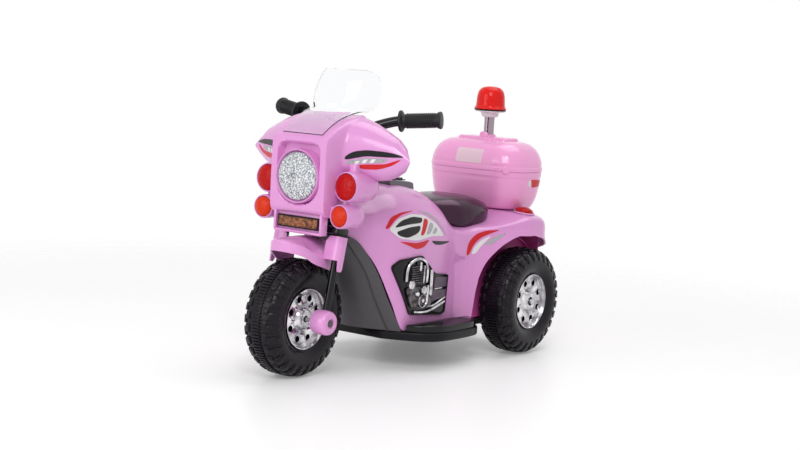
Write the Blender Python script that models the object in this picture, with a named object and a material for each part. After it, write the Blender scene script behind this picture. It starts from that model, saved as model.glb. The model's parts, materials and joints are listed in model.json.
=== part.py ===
"""Battery tricycle for a small child, styled as a patrol motorcycle.

Metres, +Z up. The vehicle faces -Y, its left side is +X, and the origin is on
the floor under the middle of the bounding box.
"""
from math import cos, pi, radians, sin

import bmesh
import bpy
from mathutils import Matrix, Vector

# Driving dimensions
WALL = 0.0025
GAP = 0.0003
SEAM_HALF = 0.0006
TYRE_R = 0.108
FRONT_AXLE = Vector((0, -0.292, TYRE_R))
REAR_AXLE = Vector((0, 0.266, TYRE_R))
REAR_WHEEL_X = 0.136
FRONT_AXLE_R = 0.004
REAR_AXLE_R = 0.006
RAKE = radians(12)
LEG_X = 0.064
LEG_SET = 0.009
LUG_R = 0.0135
GUARD_X = 0.079
LEG_R = 0.0075
BAR_R = 0.0095
STEM_R = 0.010
HEADLIGHT = Vector((0, -0.303, 0.367))
RED_LAMP = Vector((0.091, -0.277, 0.355))
AMBER_LAMP = Vector((0.089, -0.289, 0.302))
FLOOR_BOTTOM = 0.056
FLOOR_TOP = 0.0725
BOARD_TOP = 0.086
BOX_Y = 0.322
BOX_SEAM = 0.366
HINGE_Y = 0.3965
WELL_R = 0.1285
WELL_X = 0.0895
BEACON = Vector((0, 0.322, 0.431))
GEAR_MODULE = 0.0017
GEAR_TEETH = 28
PINION_TEETH = 8
OUTPUT_HUB_R = 0.0125

STEER_AXIS = Vector((0, sin(RAKE), cos(RAKE)))

# Body skin stations along Y: top height, widest half-width, its height,
# squareness of the top, half-width and height of the lower edge
SKIN = (
    (-0.212, 0.305, 0.036, 0.285, 2.2, 0.038, 0.262),
    (-0.190, 0.308, 0.052, 0.280, 2.2, 0.054, 0.247),
    (-0.150, 0.320, 0.078, 0.270, 2.3, 0.070, 0.205),
    (-0.116, 0.336, 0.093, 0.262, 2.3, 0.088, 0.134),
    (-0.080, 0.344, 0.100, 0.256, 2.3, 0.096, 0.074),
    (-0.040, 0.346, 0.102, 0.252, 2.3, 0.097, 0.074),
    (0.000, 0.341, 0.101, 0.250, 2.3, 0.097, 0.074),
    (0.045, 0.322, 0.097, 0.248, 2.3, 0.097, 0.074),
    (0.070, 0.292, 0.093, 0.247, 2.4, 0.097, 0.074),
    (0.090, 0.268, 0.091, 0.246, 2.8, 0.098, 0.074),
    (0.120, 0.262, 0.094, 0.240, 3.2, 0.104, 0.074),
    (0.134, 0.262, 0.098, 0.238, 3.4, 0.108, 0.080),
    (0.142, 0.263, 0.101, 0.238, 3.4, 0.112, 0.150),
    (0.160, 0.264, 0.108, 0.245, 3.5, 0.119, 0.190),
    (0.180, 0.265, 0.118, 0.250, 3.6, 0.127, 0.211),
    (0.200, 0.267, 0.128, 0.256, 3.8, 0.137, 0.228),
    (0.235, 0.277, 0.146, 0.262, 4.0, 0.152, 0.243),
    (0.266, 0.286, 0.158, 0.264, 4.2, 0.163, 0.243),
    (0.300, 0.286, 0.160, 0.258, 4.2, 0.164, 0.236),
    (0.322, 0.286, 0.154, 0.245, 4.0, 0.158, 0.224),
    (0.340, 0.284, 0.140, 0.235, 3.6, 0.143, 0.216),
    (0.358, 0.276, 0.112, 0.232, 3.4, 0.115, 0.206),
    (0.372, 0.262, 0.088, 0.225, 3.2, 0.090, 0.195),
)
RECESS_Y = (0.080, 0.130)
RECESS_TOP = 0.196
RECESS_DEPTH = 0.008
PANEL_RISE = 0.0025

PINK = (0.80, 0.36, 0.68)
DEEP_PINK = (0.72, 0.25, 0.56)
BLACK = (0.015, 0.015, 0.017)
DARK_GREY = (0.045, 0.045, 0.05)
CHROME = (0.80, 0.80, 0.82)
STEEL = (0.55, 0.55, 0.57)
RED = (0.75, 0.01, 0.01)
AMBER = (0.95, 0.22, 0.02)
CLEAR = (0.90, 0.92, 0.93)
GLOSS = (0.25, 0.0)
SATIN = (0.5, 0.0)
METAL = (0.15, 1.0)


def clear_scene():
    for item in list(bpy.data.objects):
        bpy.data.objects.remove(item, do_unlink=True)


def material(name, colour, finish):
    made = bpy.data.materials.new(name)
    made.use_nodes = True
    shader = made.node_tree.nodes["Principled BSDF"]
    shader.inputs["Base Color"].default_value = (*colour, 1)
    shader.inputs["Roughness"].default_value = finish[0]
    shader.inputs["Metallic"].default_value = finish[1]
    return made


def solid(name, points, faces, colour, finish=GLOSS, orient=True):
    """A named object from points and faces, its faces pointing outwards."""
    mesh = bpy.data.meshes.new(name)
    mesh.from_pydata([tuple(p) for p in points], [], faces)
    if orient:
        editor = bmesh.new()
        editor.from_mesh(mesh)
        bmesh.ops.recalc_face_normals(editor, faces=editor.faces)
        editor.to_mesh(mesh)
        editor.free()
    mesh.shade_smooth()
    mesh.set_sharp_from_angle(angle=radians(35))
    made = bpy.data.objects.new(name, mesh)
    bpy.context.scene.collection.objects.link(made)
    if colour is not None:
        mesh.materials.append(material(name, colour, finish))
    return made


def as_tool(made):
    """Marks an object as a cutter or a guide."""
    made.hide_render = True
    made.display_type = "WIRE"
    return made


def boolean(target, tool, operation):
    as_tool(tool)
    step = target.modifiers.new(tool.name, "BOOLEAN")
    step.operation = operation
    step.solver = "EXACT"
    step.object = tool
    return target


def cut(target, *tools):
    for tool in tools:
        boolean(target, tool, "DIFFERENCE")
    return target


def fuse(target, *tools):
    for tool in tools:
        boolean(target, tool, "UNION")
    return target


def ring_faces(rings, count, closed_rings=True):
    """Quads between rings of count points each."""
    faces = []
    last = count if closed_rings else count - 1
    for r in range(rings - 1):
        for c in range(last):
            d = (c + 1) % count
            faces.append((r * count + c, r * count + d, (r + 1) * count + d, (r + 1) * count + c))
    return faces


def loft(name, rings, colour, finish=GLOSS):
    """A closed solid through equal rings of points, with flat ends."""
    count = len(rings[0])
    points = [p for ring in rings for p in ring]
    faces = ring_faces(len(rings), count)
    faces.append(tuple(range(count)))
    faces.append(tuple(range(len(points) - count, len(points))))
    return solid(name, points, faces, colour, finish)


def sheet(name, rows, thickness, colour, finish=GLOSS, flip=False, offset=-1):
    """A grid of points given a wall thickness."""
    count = len(rows[0])
    faces = ring_faces(len(rows), count, False)
    if flip:
        faces = [tuple(reversed(face)) for face in faces]
    made = solid(name, [p for row in rows for p in row], faces, colour, finish, orient=False)
    wall = made.modifiers.new("wall", "SOLIDIFY")
    wall.thickness = thickness
    wall.offset = offset
    return made


def weld(item):
    """Joins points that share a place."""
    mesh = bmesh.new()
    mesh.from_mesh(item.data)
    bmesh.ops.remove_doubles(mesh, verts=mesh.verts, dist=1e-6)
    mesh.to_mesh(item.data)
    mesh.free()


def frame_of(direction):
    """Two unit vectors square to a direction."""
    along = Vector(direction).normalized()
    side = along.cross(Vector((0, 0, 1)))
    if side.length < 0.1:
        side = along.cross(Vector((0, 1, 0)))
    side.normalize()
    return along, side, side.cross(along)


def lathe(name, base, direction, profile, segments, colour, finish=GLOSS, loop=False):
    """Turns (along, radius) pairs round an axis. A loop profile makes a ring."""
    along, side, up = frame_of(direction)
    rings = []
    for a, r in profile:
        centre = Vector(base) + along * a
        rings.append([
            centre + (side * cos(2 * pi * k / segments) + up * sin(2 * pi * k / segments)) * r
            for k in range(segments)
        ])
    if loop:
        rings.append(rings[0])
        points = [p for ring in rings[:-1] for p in ring]
        faces = ring_faces(len(rings), segments)
        total = len(points)
        faces = [tuple(i % total for i in face) for face in faces]
        return solid(name, points, faces, colour, finish)
    return loft(name, rings, colour, finish)


def rod(name, start, end, radius, segments=16, colour=None, finish=GLOSS):
    """A round bar from one point to another."""
    span = Vector(end) - Vector(start)
    return lathe(name, start, span, [(0, radius), (span.length, radius)], segments, colour, finish)


def block(name, low, high, colour=None, finish=GLOSS, bevel=0.0):
    """A box between two corners."""
    corners = [
        Vector((x, y, z)) for z in (low[2], high[2])
        for x, y in ((low[0], low[1]), (high[0], low[1]), (high[0], high[1]), (low[0], high[1]))
    ]
    made = loft(name, [corners[:4], corners[4:]], colour, finish)
    if bevel:
        edge = made.modifiers.new("edge", "BEVEL")
        edge.width = bevel
        edge.segments = 2
    return made


def sweep(name, path, radius, segments, colour, finish=GLOSS):
    """A round tube along a path of points."""
    rings = []
    path = [Vector(p) for p in path]
    side = None
    for i, point in enumerate(path):
        ahead = path[min(i + 1, len(path) - 1)] - path[max(i - 1, 0)]
        along = ahead.normalized()
        if side is None:
            side = frame_of(along)[1]
        side = (side - along * side.dot(along)).normalized()
        up = side.cross(along)
        rings.append([
            point + (side * cos(2 * pi * k / segments) + up * sin(2 * pi * k / segments)) * radius
            for k in range(segments)
        ])
    return loft(name, rings, colour, finish)


def smooth_path(points, steps):
    """Points of a Catmull-Rom curve through the given points."""
    points = [Vector(p) for p in points]
    ends = [2 * points[0] - points[1]] + points + [2 * points[-1] - points[-2]]
    path = []
    for i in range(1, len(ends) - 2):
        a, b, c, d = ends[i - 1:i + 3]
        for k in range(steps):
            t = k / steps
            path.append(0.5 * ((2 * b) + (c - a) * t + (2 * a - 5 * b + 4 * c - d) * t ** 2
                               + (3 * b - a - 3 * c + d) * t ** 3))
    path.append(points[-1])
    return path


def curve_value(table, at):
    """Reads a table of rows (position, value, ...) with a smooth monotone curve."""
    places = [row[0] for row in table]
    at = min(max(at, places[0]), places[-1])
    i = max(k for k in range(len(places) - 1) if places[k] <= at)
    width = places[i + 1] - places[i]
    t = (at - places[i]) / width
    values = []
    for column in range(1, len(table[0])):
        def slope(k):
            before = (table[k][column] - table[k - 1][column]) / (places[k] - places[k - 1]) if k else None
            after = None
            if k < len(places) - 1:
                after = (table[k + 1][column] - table[k][column]) / (places[k + 1] - places[k])
            if before is None or after is None:
                return before if after is None else after
            return 0.0 if before * after <= 0 else 2 * before * after / (before + after)
        p, q = table[i][column], table[i + 1][column]
        m, n = slope(i) * width, slope(i + 1) * width
        values.append(p * (2 * t ** 3 - 3 * t ** 2 + 1) + m * (t ** 3 - 2 * t ** 2 + t)
                      + q * (3 * t ** 2 - 2 * t ** 3) + n * (t ** 3 - t ** 2))
    return values


def skin_x(y, z):
    """Half-width of the body skin at a station and a height."""
    top, wide, wide_z, square, low_x, low_z = curve_value(SKIN, y)
    if z >= wide_z:
        share = min((z - wide_z) / (top - wide_z), 1)
        return wide * (1 - share ** square) ** (1 / square)
    share = (wide_z - z) / (wide_z - low_z)
    width = wide + (low_x - wide) * share ** 1.5
    middle = 0.5 * (RECESS_Y[0] + RECESS_Y[1])
    if abs(y - middle) < 0.5 * (RECESS_Y[1] - RECESS_Y[0]) and z < RECESS_TOP:
        width -= RECESS_DEPTH
    return width


def skin_z(y, x):
    """Height of the body skin at a station and a half-width."""
    top, wide, wide_z, square = curve_value(SKIN, y)[:4]
    share = min(abs(x) / wide, 1)
    return wide_z + (top - wide_z) * (1 - share ** square) ** (1 / square)


def skin_section(y, top_steps, side_steps):
    """Points (x, z) of the half section from the ridge to the lower edge."""
    top, wide, wide_z, square, low_x, low_z = curve_value(SKIN, y)
    points = []
    for k in range(top_steps + 1):
        angle = 0.5 * pi * k / top_steps
        x = wide * sin(angle) ** (2 / square)
        z = wide_z + (top - wide_z) * max(cos(angle), 0) ** (2 / square)
        points.append((x, z))
    for k in range(1, side_steps + 1):
        z = wide_z + (low_z - wide_z) * k / side_steps
        points.append((skin_x(y, z), z))
    return points


def body_shell(side, name):
    stations = sorted({row[0] for row in SKIN} | {-0.098, 0.058, 0.0795, 0.0835, 0.1265, 0.250})
    rows = []
    for y in stations:
        rows.append([Vector((side * max(x, SEAM_HALF), y, z)) for x, z in skin_section(y, 5, 5)])
    return sheet(name, rows, WALL, PINK, flip=side < 0)


def front_shield():
    """Dark curved shield behind the front wheel, from the neck to the floor."""
    edge = [(0.052, -0.203, 0.255), (0.062, -0.180, 0.240), (0.074, -0.142, 0.190), (0.088, -0.120, 0.134),
            (0.096, -0.084, 0.073)]
    crease = [(0.038, -0.212, 0.255), (0.046, -0.196, 0.236), (0.056, -0.158, 0.186), (0.064, -0.134, 0.132),
              (0.071, -0.100, 0.0735)]
    middle = [(0.0, -0.219, 0.255), (0.0, -0.208, 0.232), (0.0, -0.175, 0.182), (0.0, -0.150, 0.128),
              (0.0, -0.124, 0.0735)]
    rows = []
    for e, c, m in zip(edge, crease, middle):
        e = Vector(e) + Vector((0, -0.0035, 0))
        half = Vector(c).lerp(Vector(m), 0.5) + Vector((0, -0.004, 0))
        left = [e, Vector(c), half]
        right = [Vector((-p.x, p.y, p.z)) for p in reversed(left)]
        rows.append(left + [Vector(m)] + right)
    return sheet("front_shield", rows, WALL, DARK_GREY, SATIN, flip=True)


def floor_pan():
    """Floor with both footboards, one moulding, and the plates that hold the rear axle."""
    half = [(0.060, -0.105), (0.094, -0.088), (0.128, -0.070), (0.150, -0.045), (0.157, -0.010),
            (0.157, 0.060), (0.150, 0.095), (0.134, 0.112), (0.100, 0.120), (0.086, 0.134), (0.086, 0.345)]
    outline = half + [(-x, y) for x, y in reversed(half)]
    pan = loft("floor_pan", [[Vector((x, y, z)) for x, y in outline] for z in (FLOOR_BOTTOM, FLOOR_TOP)],
               BLACK, SATIN)
    board = [(0.101, -0.080), (0.126, -0.066), (0.147, -0.043), (0.154, -0.009), (0.154, 0.059),
             (0.147, 0.092), (0.133, 0.108), (0.108, 0.114), (0.108, 0.078), (0.101, 0.072)]
    for side in (1, -1):
        rings = [[Vector((side * x, y, z)) for x, y in board] for z in (FLOOR_TOP - 0.004, BOARD_TOP)]
        fuse(pan, loft(f"board_guide_{side}", rings, None))
        plate = block(f"axle_plate_{side}", (side * 0.082 - 0.004, 0.246, 0.066),
                      (side * 0.082 + 0.004, 0.286, 0.124))
        fuse(pan, plate)
    cut(pan, rod("axle_cutter", (-0.1, REAR_AXLE.y, TYRE_R), (0.1, REAR_AXLE.y, TYRE_R), REAR_AXLE_R + GAP),
        rod("hub_cutter", (-0.1, REAR_AXLE.y, TYRE_R), (-0.07, REAR_AXLE.y, TYRE_R), OUTPUT_HUB_R + GAP))
    for low, high in ((-0.1530, -0.1486), (-0.1094, -0.1050)):
        fuse(pan, block(f"pedal_ear_{low}", (low, 0.0260, BOARD_TOP - 0.003), (high, 0.0340, 0.0950)))
    return fuse(pan, rod("pedal_pin", (-0.1500, 0.030, 0.0915), (-0.1080, 0.030, 0.0915), 0.0013, 10))


def on_steer_axis(distance):
    return FRONT_AXLE + STEER_AXIS * distance


def steering_frame():
    """Head tube on a spine that stands on the floor, inside the body."""
    head = lathe("steering_frame", on_steer_axis(0.178), STEER_AXIS,
                 [(0, 0.019), (0.048, 0.019)], 24, BLACK, SATIN)
    foot = ((-0.016, -0.108), (0.016, -0.108), (0.016, -0.088), (-0.016, -0.088))
    neck = ((-0.016, -0.208), (0.016, -0.208), (0.016, -0.186), (-0.016, -0.186))
    spine = loft("spine_guide", [[Vector((x, y, 0.0728)) for x, y in foot],
                                 [Vector((x, y, 0.284)) for x, y in neck]], None)
    arm = block("arm_guide", (-0.016, -0.242, 0.2825), (0.016, -0.186, 0.294))
    fuse(head, arm, spine)
    bore = rod("head_bore", on_steer_axis(0.170), on_steer_axis(0.235), 0.0135, 24)
    return cut(head, bore)


def steering_bush(name, start, collar_at):
    """Flanged bush in one end of the head tube."""
    shank, flange = 0.0132, 0.017
    low, high = start
    if collar_at == "bottom":
        profile = [(low, STEM_R + GAP), (low, flange), (low + 0.002, flange), (low + 0.002, shank),
                   (high, shank), (high, STEM_R + GAP)]
    else:
        profile = [(low, STEM_R + GAP), (low, shank), (high - 0.002, shank), (high - 0.002, flange),
                   (high, flange), (high, STEM_R + GAP)]
    return lathe(name, FRONT_AXLE, STEER_AXIS, profile, 16, CLEAR, SATIN, loop=True)


def arch_liner(side, name):
    """Inner wheel arch: a drum wall and the disc that closes its inner side."""
    x = side * WELL_X
    liner = rod(name, (x, REAR_AXLE.y, TYRE_R), (side * 0.103, REAR_AXLE.y, TYRE_R), WELL_R, 32, DEEP_PINK,
                SATIN)
    hollow = rod(f"{name}_hollow", (side * 0.092, REAR_AXLE.y, TYRE_R), (side * 0.13, REAR_AXLE.y, TYRE_R),
                 WELL_R - WALL, 32)
    trim = block(f"{name}_trim", (min(0, side * 0.2), 0.10, -0.05), (max(0, side * 0.2), 0.42, 0.0745))
    back = block(f"{name}_back", (min(0, side * 0.2), 0.342, 0.05), (max(0, side * 0.2), 0.42, 0.26))
    hub = rod(f"{name}_hub", (side * 0.05, REAR_AXLE.y, TYRE_R), (side * 0.15, REAR_AXLE.y, TYRE_R), 0.016,
              20)
    return cut(liner, hollow, trim, back, hub)


def rear_cover():
    """Curved panel that closes the back of the body."""
    rows = []
    for z, y, half in ((0.246, 0.3695, 0.058), (0.225, 0.3685, 0.078), (0.19, 0.366, 0.084),
                       (0.14, 0.360, 0.0845), (0.09, 0.352, 0.083), (0.0745, 0.348, 0.080)):
        rows.append([Vector((half * k / 4, y - 0.010 * (k / 4) ** 2, z)) for k in range(-4, 5)])
    return sheet("rear_cover", rows, WALL, PINK, flip=False)


def engine_panel(side, name):
    """Thin trim panel that lies on the side of the body."""
    upper = ((-0.127, 0.202), (-0.110, 0.214), (-0.042, 0.217), (0.006, 0.178), (0.056, 0.172))
    lower = ((-0.127, 0.196), (-0.069, 0.1035), (0.035, 0.0945), (0.050, 0.0985), (0.056, 0.166))
    rows = []
    for y in (-0.127, -0.122, -0.110, -0.095, -0.082, -0.069, -0.055, -0.042, -0.02, 0.006, 0.035, 0.050,
              0.056):
        high = _line(upper, y)
        low = _line(lower, y)
        rows.append([Vector((side * (skin_x(y, low + (high - low) * k / 3) + PANEL_RISE), y,
                             low + (high - low) * k / 3)) for k in range(4)])
    return sheet(name, rows, 0.0018, BLACK, flip=side > 0, offset=-1)


def _line(points, at):
    """Straight-line reading of a list of (position, value)."""
    for (a, p), (b, q) in zip(points, points[1:]):
        if at <= b:
            return p + (q - p) * (at - a) / (b - a)
    return points[-1][1]


def seat():
    """Moulded saddle: crowned top, drawn-in front, sides that overhang the body."""
    stations = ((0.074, 0.026, 0.3035), (0.0795, 0.040, 0.3075), (0.090, 0.055, 0.3115),
                (0.120, 0.078, 0.3170), (0.142, 0.085, 0.3188), (0.160, 0.088, 0.3190),
                (0.180, 0.088, 0.3185), (0.200, 0.0855, 0.3160), (0.2235, 0.077, 0.3090),
                (0.235, 0.062, 0.3005))
    rings = []
    for y, half, top in stations:
        across = 10
        under, over = [], []
        for k in range(across + 1):
            x = half * (2 * k / across - 1)
            share = abs(x) / half
            floor = skin_z(y, min(abs(x), 0.080)) + 0.0015
            crown = top - 0.030 * share ** 2.4
            if share > 0.99:
                crown = floor + 0.35 * (top - 0.030 - floor)
                x *= 1.02
            under.append(Vector((x * 0.96, y, floor)))
            over.append(Vector((x, y, max(crown, floor + 0.004))))
        rings.append(over + list(reversed(under)))
    return loft("seat", rings, BLACK, GLOSS)


def tail_lamp(side, name):
    """Domed lens on the crown of the rear fender."""
    centre = Vector((side * 0.122, 0.287, 0))
    rings = []
    for radius, rise in ((0.019, 0.0015), (0.019, 0.0045), (0.0165, 0.0085), (0.010, 0.0115),
                         (0.003, 0.0125)):
        ring = []
        for k in range(16):
            x = centre.x + radius * cos(2 * pi * k / 16)
            y = centre.y + radius * sin(2 * pi * k / 16)
            ring.append(Vector((x, y, skin_z(y, x) + rise)))
        rings.append(ring)
    return loft(name, rings, RED)


def rounded_ring(half_x, half_y, z, corner):
    """Points of a rectangle with round corners, at one height."""
    ring, steps = [], 3
    for sx, sy, start in ((1, 1, 0), (-1, 1, 1), (-1, -1, 2), (1, -1, 3)):
        for k in range(steps + 1):
            angle = 0.5 * pi * (start + k / steps)
            ring.append(Vector((sx * (half_x - corner) + corner * cos(angle),
                                BOX_Y + sy * (half_y - corner) + corner * sin(angle), z)))
    return ring


def box_base():
    """Lower half of the tail box, an open tub."""
    outer = ((0.088, 0.048, 0.2866, 0.040), (0.100, 0.060, 0.292, 0.046), (0.109, 0.067, 0.312, 0.052),
             (0.114, 0.072, 0.340, 0.056), (0.1165, 0.0740, 0.362, 0.058), (0.1165, 0.0740, BOX_SEAM, 0.058))
    inner = [(a - WALL, b - WALL, z + (WALL if i == 0 else 0), r - WALL)
             for i, (a, b, z, r) in enumerate(outer)]
    rings = [rounded_ring(a, b, z, r) for a, b, z, r in outer]
    rings += [rounded_ring(a, b, z, r) for a, b, z, r in reversed(inner)]
    tub = loft("box_base", rings, PINK)
    for side in (1, -1):
        knuckle = rod(f"base_knuckle_{side}", (side * 0.018, HINGE_Y, BOX_SEAM),
                      (side * 0.034, HINGE_Y, BOX_SEAM), 0.0035, 12)
        fuse(tub, knuckle)
    notch = rod("base_knuckle_notch", (-0.0179, HINGE_Y, BOX_SEAM), (0.0179, HINGE_Y, BOX_SEAM), 0.0041, 12)
    return cut(tub, notch, rod("base_pin_bore", (-0.05, HINGE_Y, BOX_SEAM), (0.05, HINGE_Y, BOX_SEAM),
                               0.0016, 10))


def box_lid():
    """Domed lid with a raised plinth for the beacon and a hinge knuckle."""
    seam = BOX_SEAM + GAP
    outer = ((0.1175, 0.0750, seam, 0.0585), (0.1175, 0.0750, 0.374, 0.0585), (0.1150, 0.0730, 0.386, 0.057),
             (0.1090, 0.0680, 0.402, 0.054), (0.0980, 0.0580, 0.416, 0.048), (0.0800, 0.0420, 0.4245, 0.036),
             (0.0500, 0.0200, 0.4265, 0.016))
    inner = [(a - WALL, b - WALL, z - (WALL if i else 0), r - WALL) for i, (a, b, z, r) in enumerate(outer)]
    rings = [rounded_ring(a, b, z, r) for a, b, z, r in outer]
    rings += [rounded_ring(a, b, z, r) for a, b, z, r in reversed(inner)]
    # The two innermost rings close the crown as separate caps, so the loft runs as a loop
    count = len(rings[0])
    faces = [tuple(i % (len(rings) * count) for i in f) for f in ring_faces(len(rings) + 1, count)]
    middle = len(outer)
    bridge = range((middle - 1) * count, middle * count)
    faces = [f for f in faces if not (min(f) >= bridge[0] and max(f) < bridge[0] + 2 * count)]
    faces.append(tuple(bridge))
    faces.append(tuple(range(middle * count, (middle + 1) * count)))
    lid = solid("box_lid", [p for ring in rings for p in ring], faces, PINK)
    plinth = loft("plinth_guide", [rounded_ring(0.062, 0.030, 0.4235, 0.012),
                                   rounded_ring(0.060, 0.028, 0.4300, 0.011),
                                   rounded_ring(0.058, 0.026, 0.4312, 0.010)], None)
    fuse(lid, plinth)
    boss = rod("pole_boss", (0, BOX_Y, 0.4305), (0, BOX_Y, 0.4365), 0.015, 20)
    fuse(lid, boss)
    knuckle = rod("lid_knuckle", (-0.0175, HINGE_Y, BOX_SEAM), (0.0175, HINGE_Y, BOX_SEAM), 0.0035, 12)
    clear = block("lid_knuckle_web", (-0.0175, 0.388, BOX_SEAM + GAP), (0.0175, HINGE_Y, BOX_SEAM + 0.0034))
    fuse(lid, clear, knuckle)
    pin_bore = rod("lid_pin_bore", (-0.05, HINGE_Y, BOX_SEAM), (0.05, HINGE_Y, BOX_SEAM), 0.0016, 10)
    for side in (1, -1):
        tool = rod(f"lid_base_clear_{side}", (side * 0.0176, HINGE_Y, BOX_SEAM),
                   (side * 0.0345, HINGE_Y, BOX_SEAM), 0.0041, 12)
        cut(lid, tool)
    return cut(lid, pin_bore)


def beacon_parts(lid_joint):
    pole = rod("beacon_pole", BEACON + Vector((0, 0, 0.0002)) + Vector((0, 0, 0.0055)),
               BEACON + Vector((0, 0, 0.041)), 0.011, 20, CHROME, METAL)
    collar = lathe("beacon_collar", BEACON, (0, 0, 1),
                   [(0.0413, 0.014), (0.043, 0.018), (0.052, 0.0185), (0.0525, 0.0315), (0.0580, 0.0320),
                    (0.0580, 0.0100)], 18, DARK_GREY)
    dome = lathe("beacon_dome", BEACON, (0, 0, 1),
                 [(0.1062, 0.006), (0.103, 0.019), (0.095, 0.0265), (0.080, 0.0295), (0.0605, 0.0310),
                  (0.0600, 0.0335), (0.0583, 0.0335), (0.0583, 0.0290), (0.080, 0.0275), (0.0935, 0.0245),
                  (0.1010, 0.017), (0.1040, 0.006)], 18, RED)
    for item in (pole, collar, dome):
        ride(item, lid_joint)


def fairing_nose(x):
    """How far forward the fairing reaches at a half-width."""
    return -0.266 + (x - 0.073) * 0.49


def fairing_section(x):
    """Profile (y, z) of the fairing from its rear top edge round to its rear lower edge."""
    x = abs(x)
    rim = [(-0.200, 0.481), (-0.235, 0.473), (-0.270, 0.457), (-0.294, 0.441), (-0.3015, 0.431),
           (-0.303, 0.418), (-0.303, 0.390), (-0.303, 0.350), (-0.302, 0.318), (-0.299, 0.304),
           (-0.290, 0.2965), (-0.2785, 0.2965)]
    if x < 0.0505:
        back = [(-0.200, 0.482), (-0.235, 0.474), (-0.270, 0.458), (-0.294, 0.442), (-0.3015, 0.432),
                (-0.286, 0.424), (-0.285, 0.390), (-0.285, 0.350), (-0.286, 0.318), (-0.299, 0.306),
                (-0.290, 0.2965), (-0.2785, 0.2965)]
        return back
    if x < 0.0630:
        return rim
    rear = -0.200 - 0.012 * max(0, (x - 0.165) / 0.017)
    top = _line(((0.063, 0.4780), (0.080, 0.4740), (0.100, 0.4670), (0.120, 0.4580), (0.150, 0.4430),
                 (0.168, 0.4240), (0.182, 0.4100)), x)
    low = _line(((0.063, 0.3680), (0.100, 0.3640), (0.130, 0.3680), (0.150, 0.3760), (0.168, 0.3890),
                 (0.182, 0.4020)), x)
    nose = fairing_nose(x)
    depth = rear - nose
    middle = 0.402
    points = []
    for k in range(7):
        angle = 0.5 * pi * k / 6
        points.append((rear - depth * sin(angle) ** 0.9, middle + (top - middle) * cos(angle) ** 0.8))
    for k in range(1, 6):
        angle = 0.5 * pi * k / 5
        points.append((rear - depth * max(cos(angle), 0) ** 0.8, middle - (middle - low) * sin(angle) ** 0.9))
    return points


def fairing():
    """Front cowl with its wings, lamp pods and number-plate bracket, one moulding."""
    half = [0.0, 0.050, 0.054, 0.0625, 0.072, 0.102, 0.134, 0.158, 0.174, 0.182]
    stations = [-x for x in reversed(half[1:])] + half
    rows = [[Vector((x, y, z)) for y, z in fairing_section(x)] for x in stations]
    cowl = sheet("fairing", rows, WALL, PINK, flip=False)
    for side in (1, -1):
        red, amber = mirrored(RED_LAMP, side), mirrored(AMBER_LAMP, side)
        back = lamp_back(side)
        for label, lamp, radius, length in (("red", red, 0.0275, 0.074), ("amber", amber, 0.0220, 0.056)):
            pod = lathe(f"{label}_pod_{side}", lamp, back,
                        [(0, radius), (0.85 * length, radius), (length, 0.50 * radius)], 12, None)
            fuse(cowl, pod)
            pocket = lathe(f"{label}_pocket_{side}", lamp, back,
                           [(-0.004, radius - 0.0032), (0.012, radius - 0.0032)], 12, None)
            cut(cowl, pocket)
        fuse(cowl, block(f"pod_web_{side}", (side * 0.092 - 0.006, -0.268, 0.316),
                         (side * 0.092 + 0.006, -0.238, 0.334)))
        fuse(cowl, block(f"side_web_{side}", (side * 0.066 - 0.010, -0.262, 0.300),
                         (side * 0.066 + 0.010, -0.244, 0.318)))
    fuse(cowl, block("plate_bracket", (-0.056, -0.2905, 0.266), (0.056, -0.2835, 0.3005)))
    opening = rod("headlight_opening", (0, -0.32, HEADLIGHT.z), (0, -0.27, HEADLIGHT.z), 0.0400, 24)
    return cut(cowl, opening)


def mirrored(point, side):
    return Vector((side * point.x, point.y, point.z))


def lamp_back(side):
    """Direction in which a lamp pod runs back from its lens."""
    return Vector((side * 0.06, 1, -0.04))


def fairing_bracket():
    """Clamp on the stem that carries the fairing from behind."""
    grip = lathe("fairing_bracket", on_steer_axis(0.262), STEER_AXIS, [(0, 0.016), (0.020, 0.016)], 20,
                 BLACK, SATIN)
    plate = block("bracket_plate", (-0.048, -0.2790, 0.352), (0.048, -0.2765, 0.376))
    arm = block("bracket_arm", (-0.008, -0.2775, 0.354), (0.008, -0.240, 0.374))
    fuse(grip, arm, plate)
    for side in (1, -1):
        fuse(grip, block(f"bracket_pad_{side}", (side * 0.045 - 0.003, -0.2822, 0.355),
                         (side * 0.045 + 0.003, -0.2775, 0.373)))
    return cut(grip, rod("bracket_bore", on_steer_axis(0.24), on_steer_axis(0.30), STEM_R + GAP, 20))


def windshield():
    """Clear screen: a foot on the slope of the fairing and a curved blade above it."""
    rows = []
    slope = ((-0.2960, 0.4410), (-0.2700, 0.4580), (-0.2350, 0.4740), (-0.2000, 0.4820), (-0.1700, 0.4850))
    for start, wrap, half, rise in ((-0.2950, 0, 0.046, 0.0012), (-0.2705, 0, 0.047, 0.0012),
                                    (-0.2520, 0.012, 0.050, 0.0030), (-0.2400, 0.035, 0.058, 0.0040)):
        row = []
        for k in range(-4, 5):
            y = start + wrap * (k / 4) ** 2
            row.append(Vector((half * k / 4, y, _line(slope, y) + rise)))
        rows.append(row)
    blade = ((0.4880, -0.2330, 0.066, 0.052), (0.500, -0.229, 0.074, 0.054), (0.520, -0.222, 0.076, 0.055),
             (0.540, -0.213, 0.072, 0.050), (0.554, -0.205, 0.062, 0.040), (0.562, -0.199, 0.044, 0.022))
    for z, y, half, wrap in blade:
        rows.append([Vector((half * k / 4, y + wrap * (k / 4) ** 2, z)) for k in range(-4, 5)])
    return sheet("windshield", rows, 0.0018, CLEAR, flip=False, offset=1)


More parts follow.
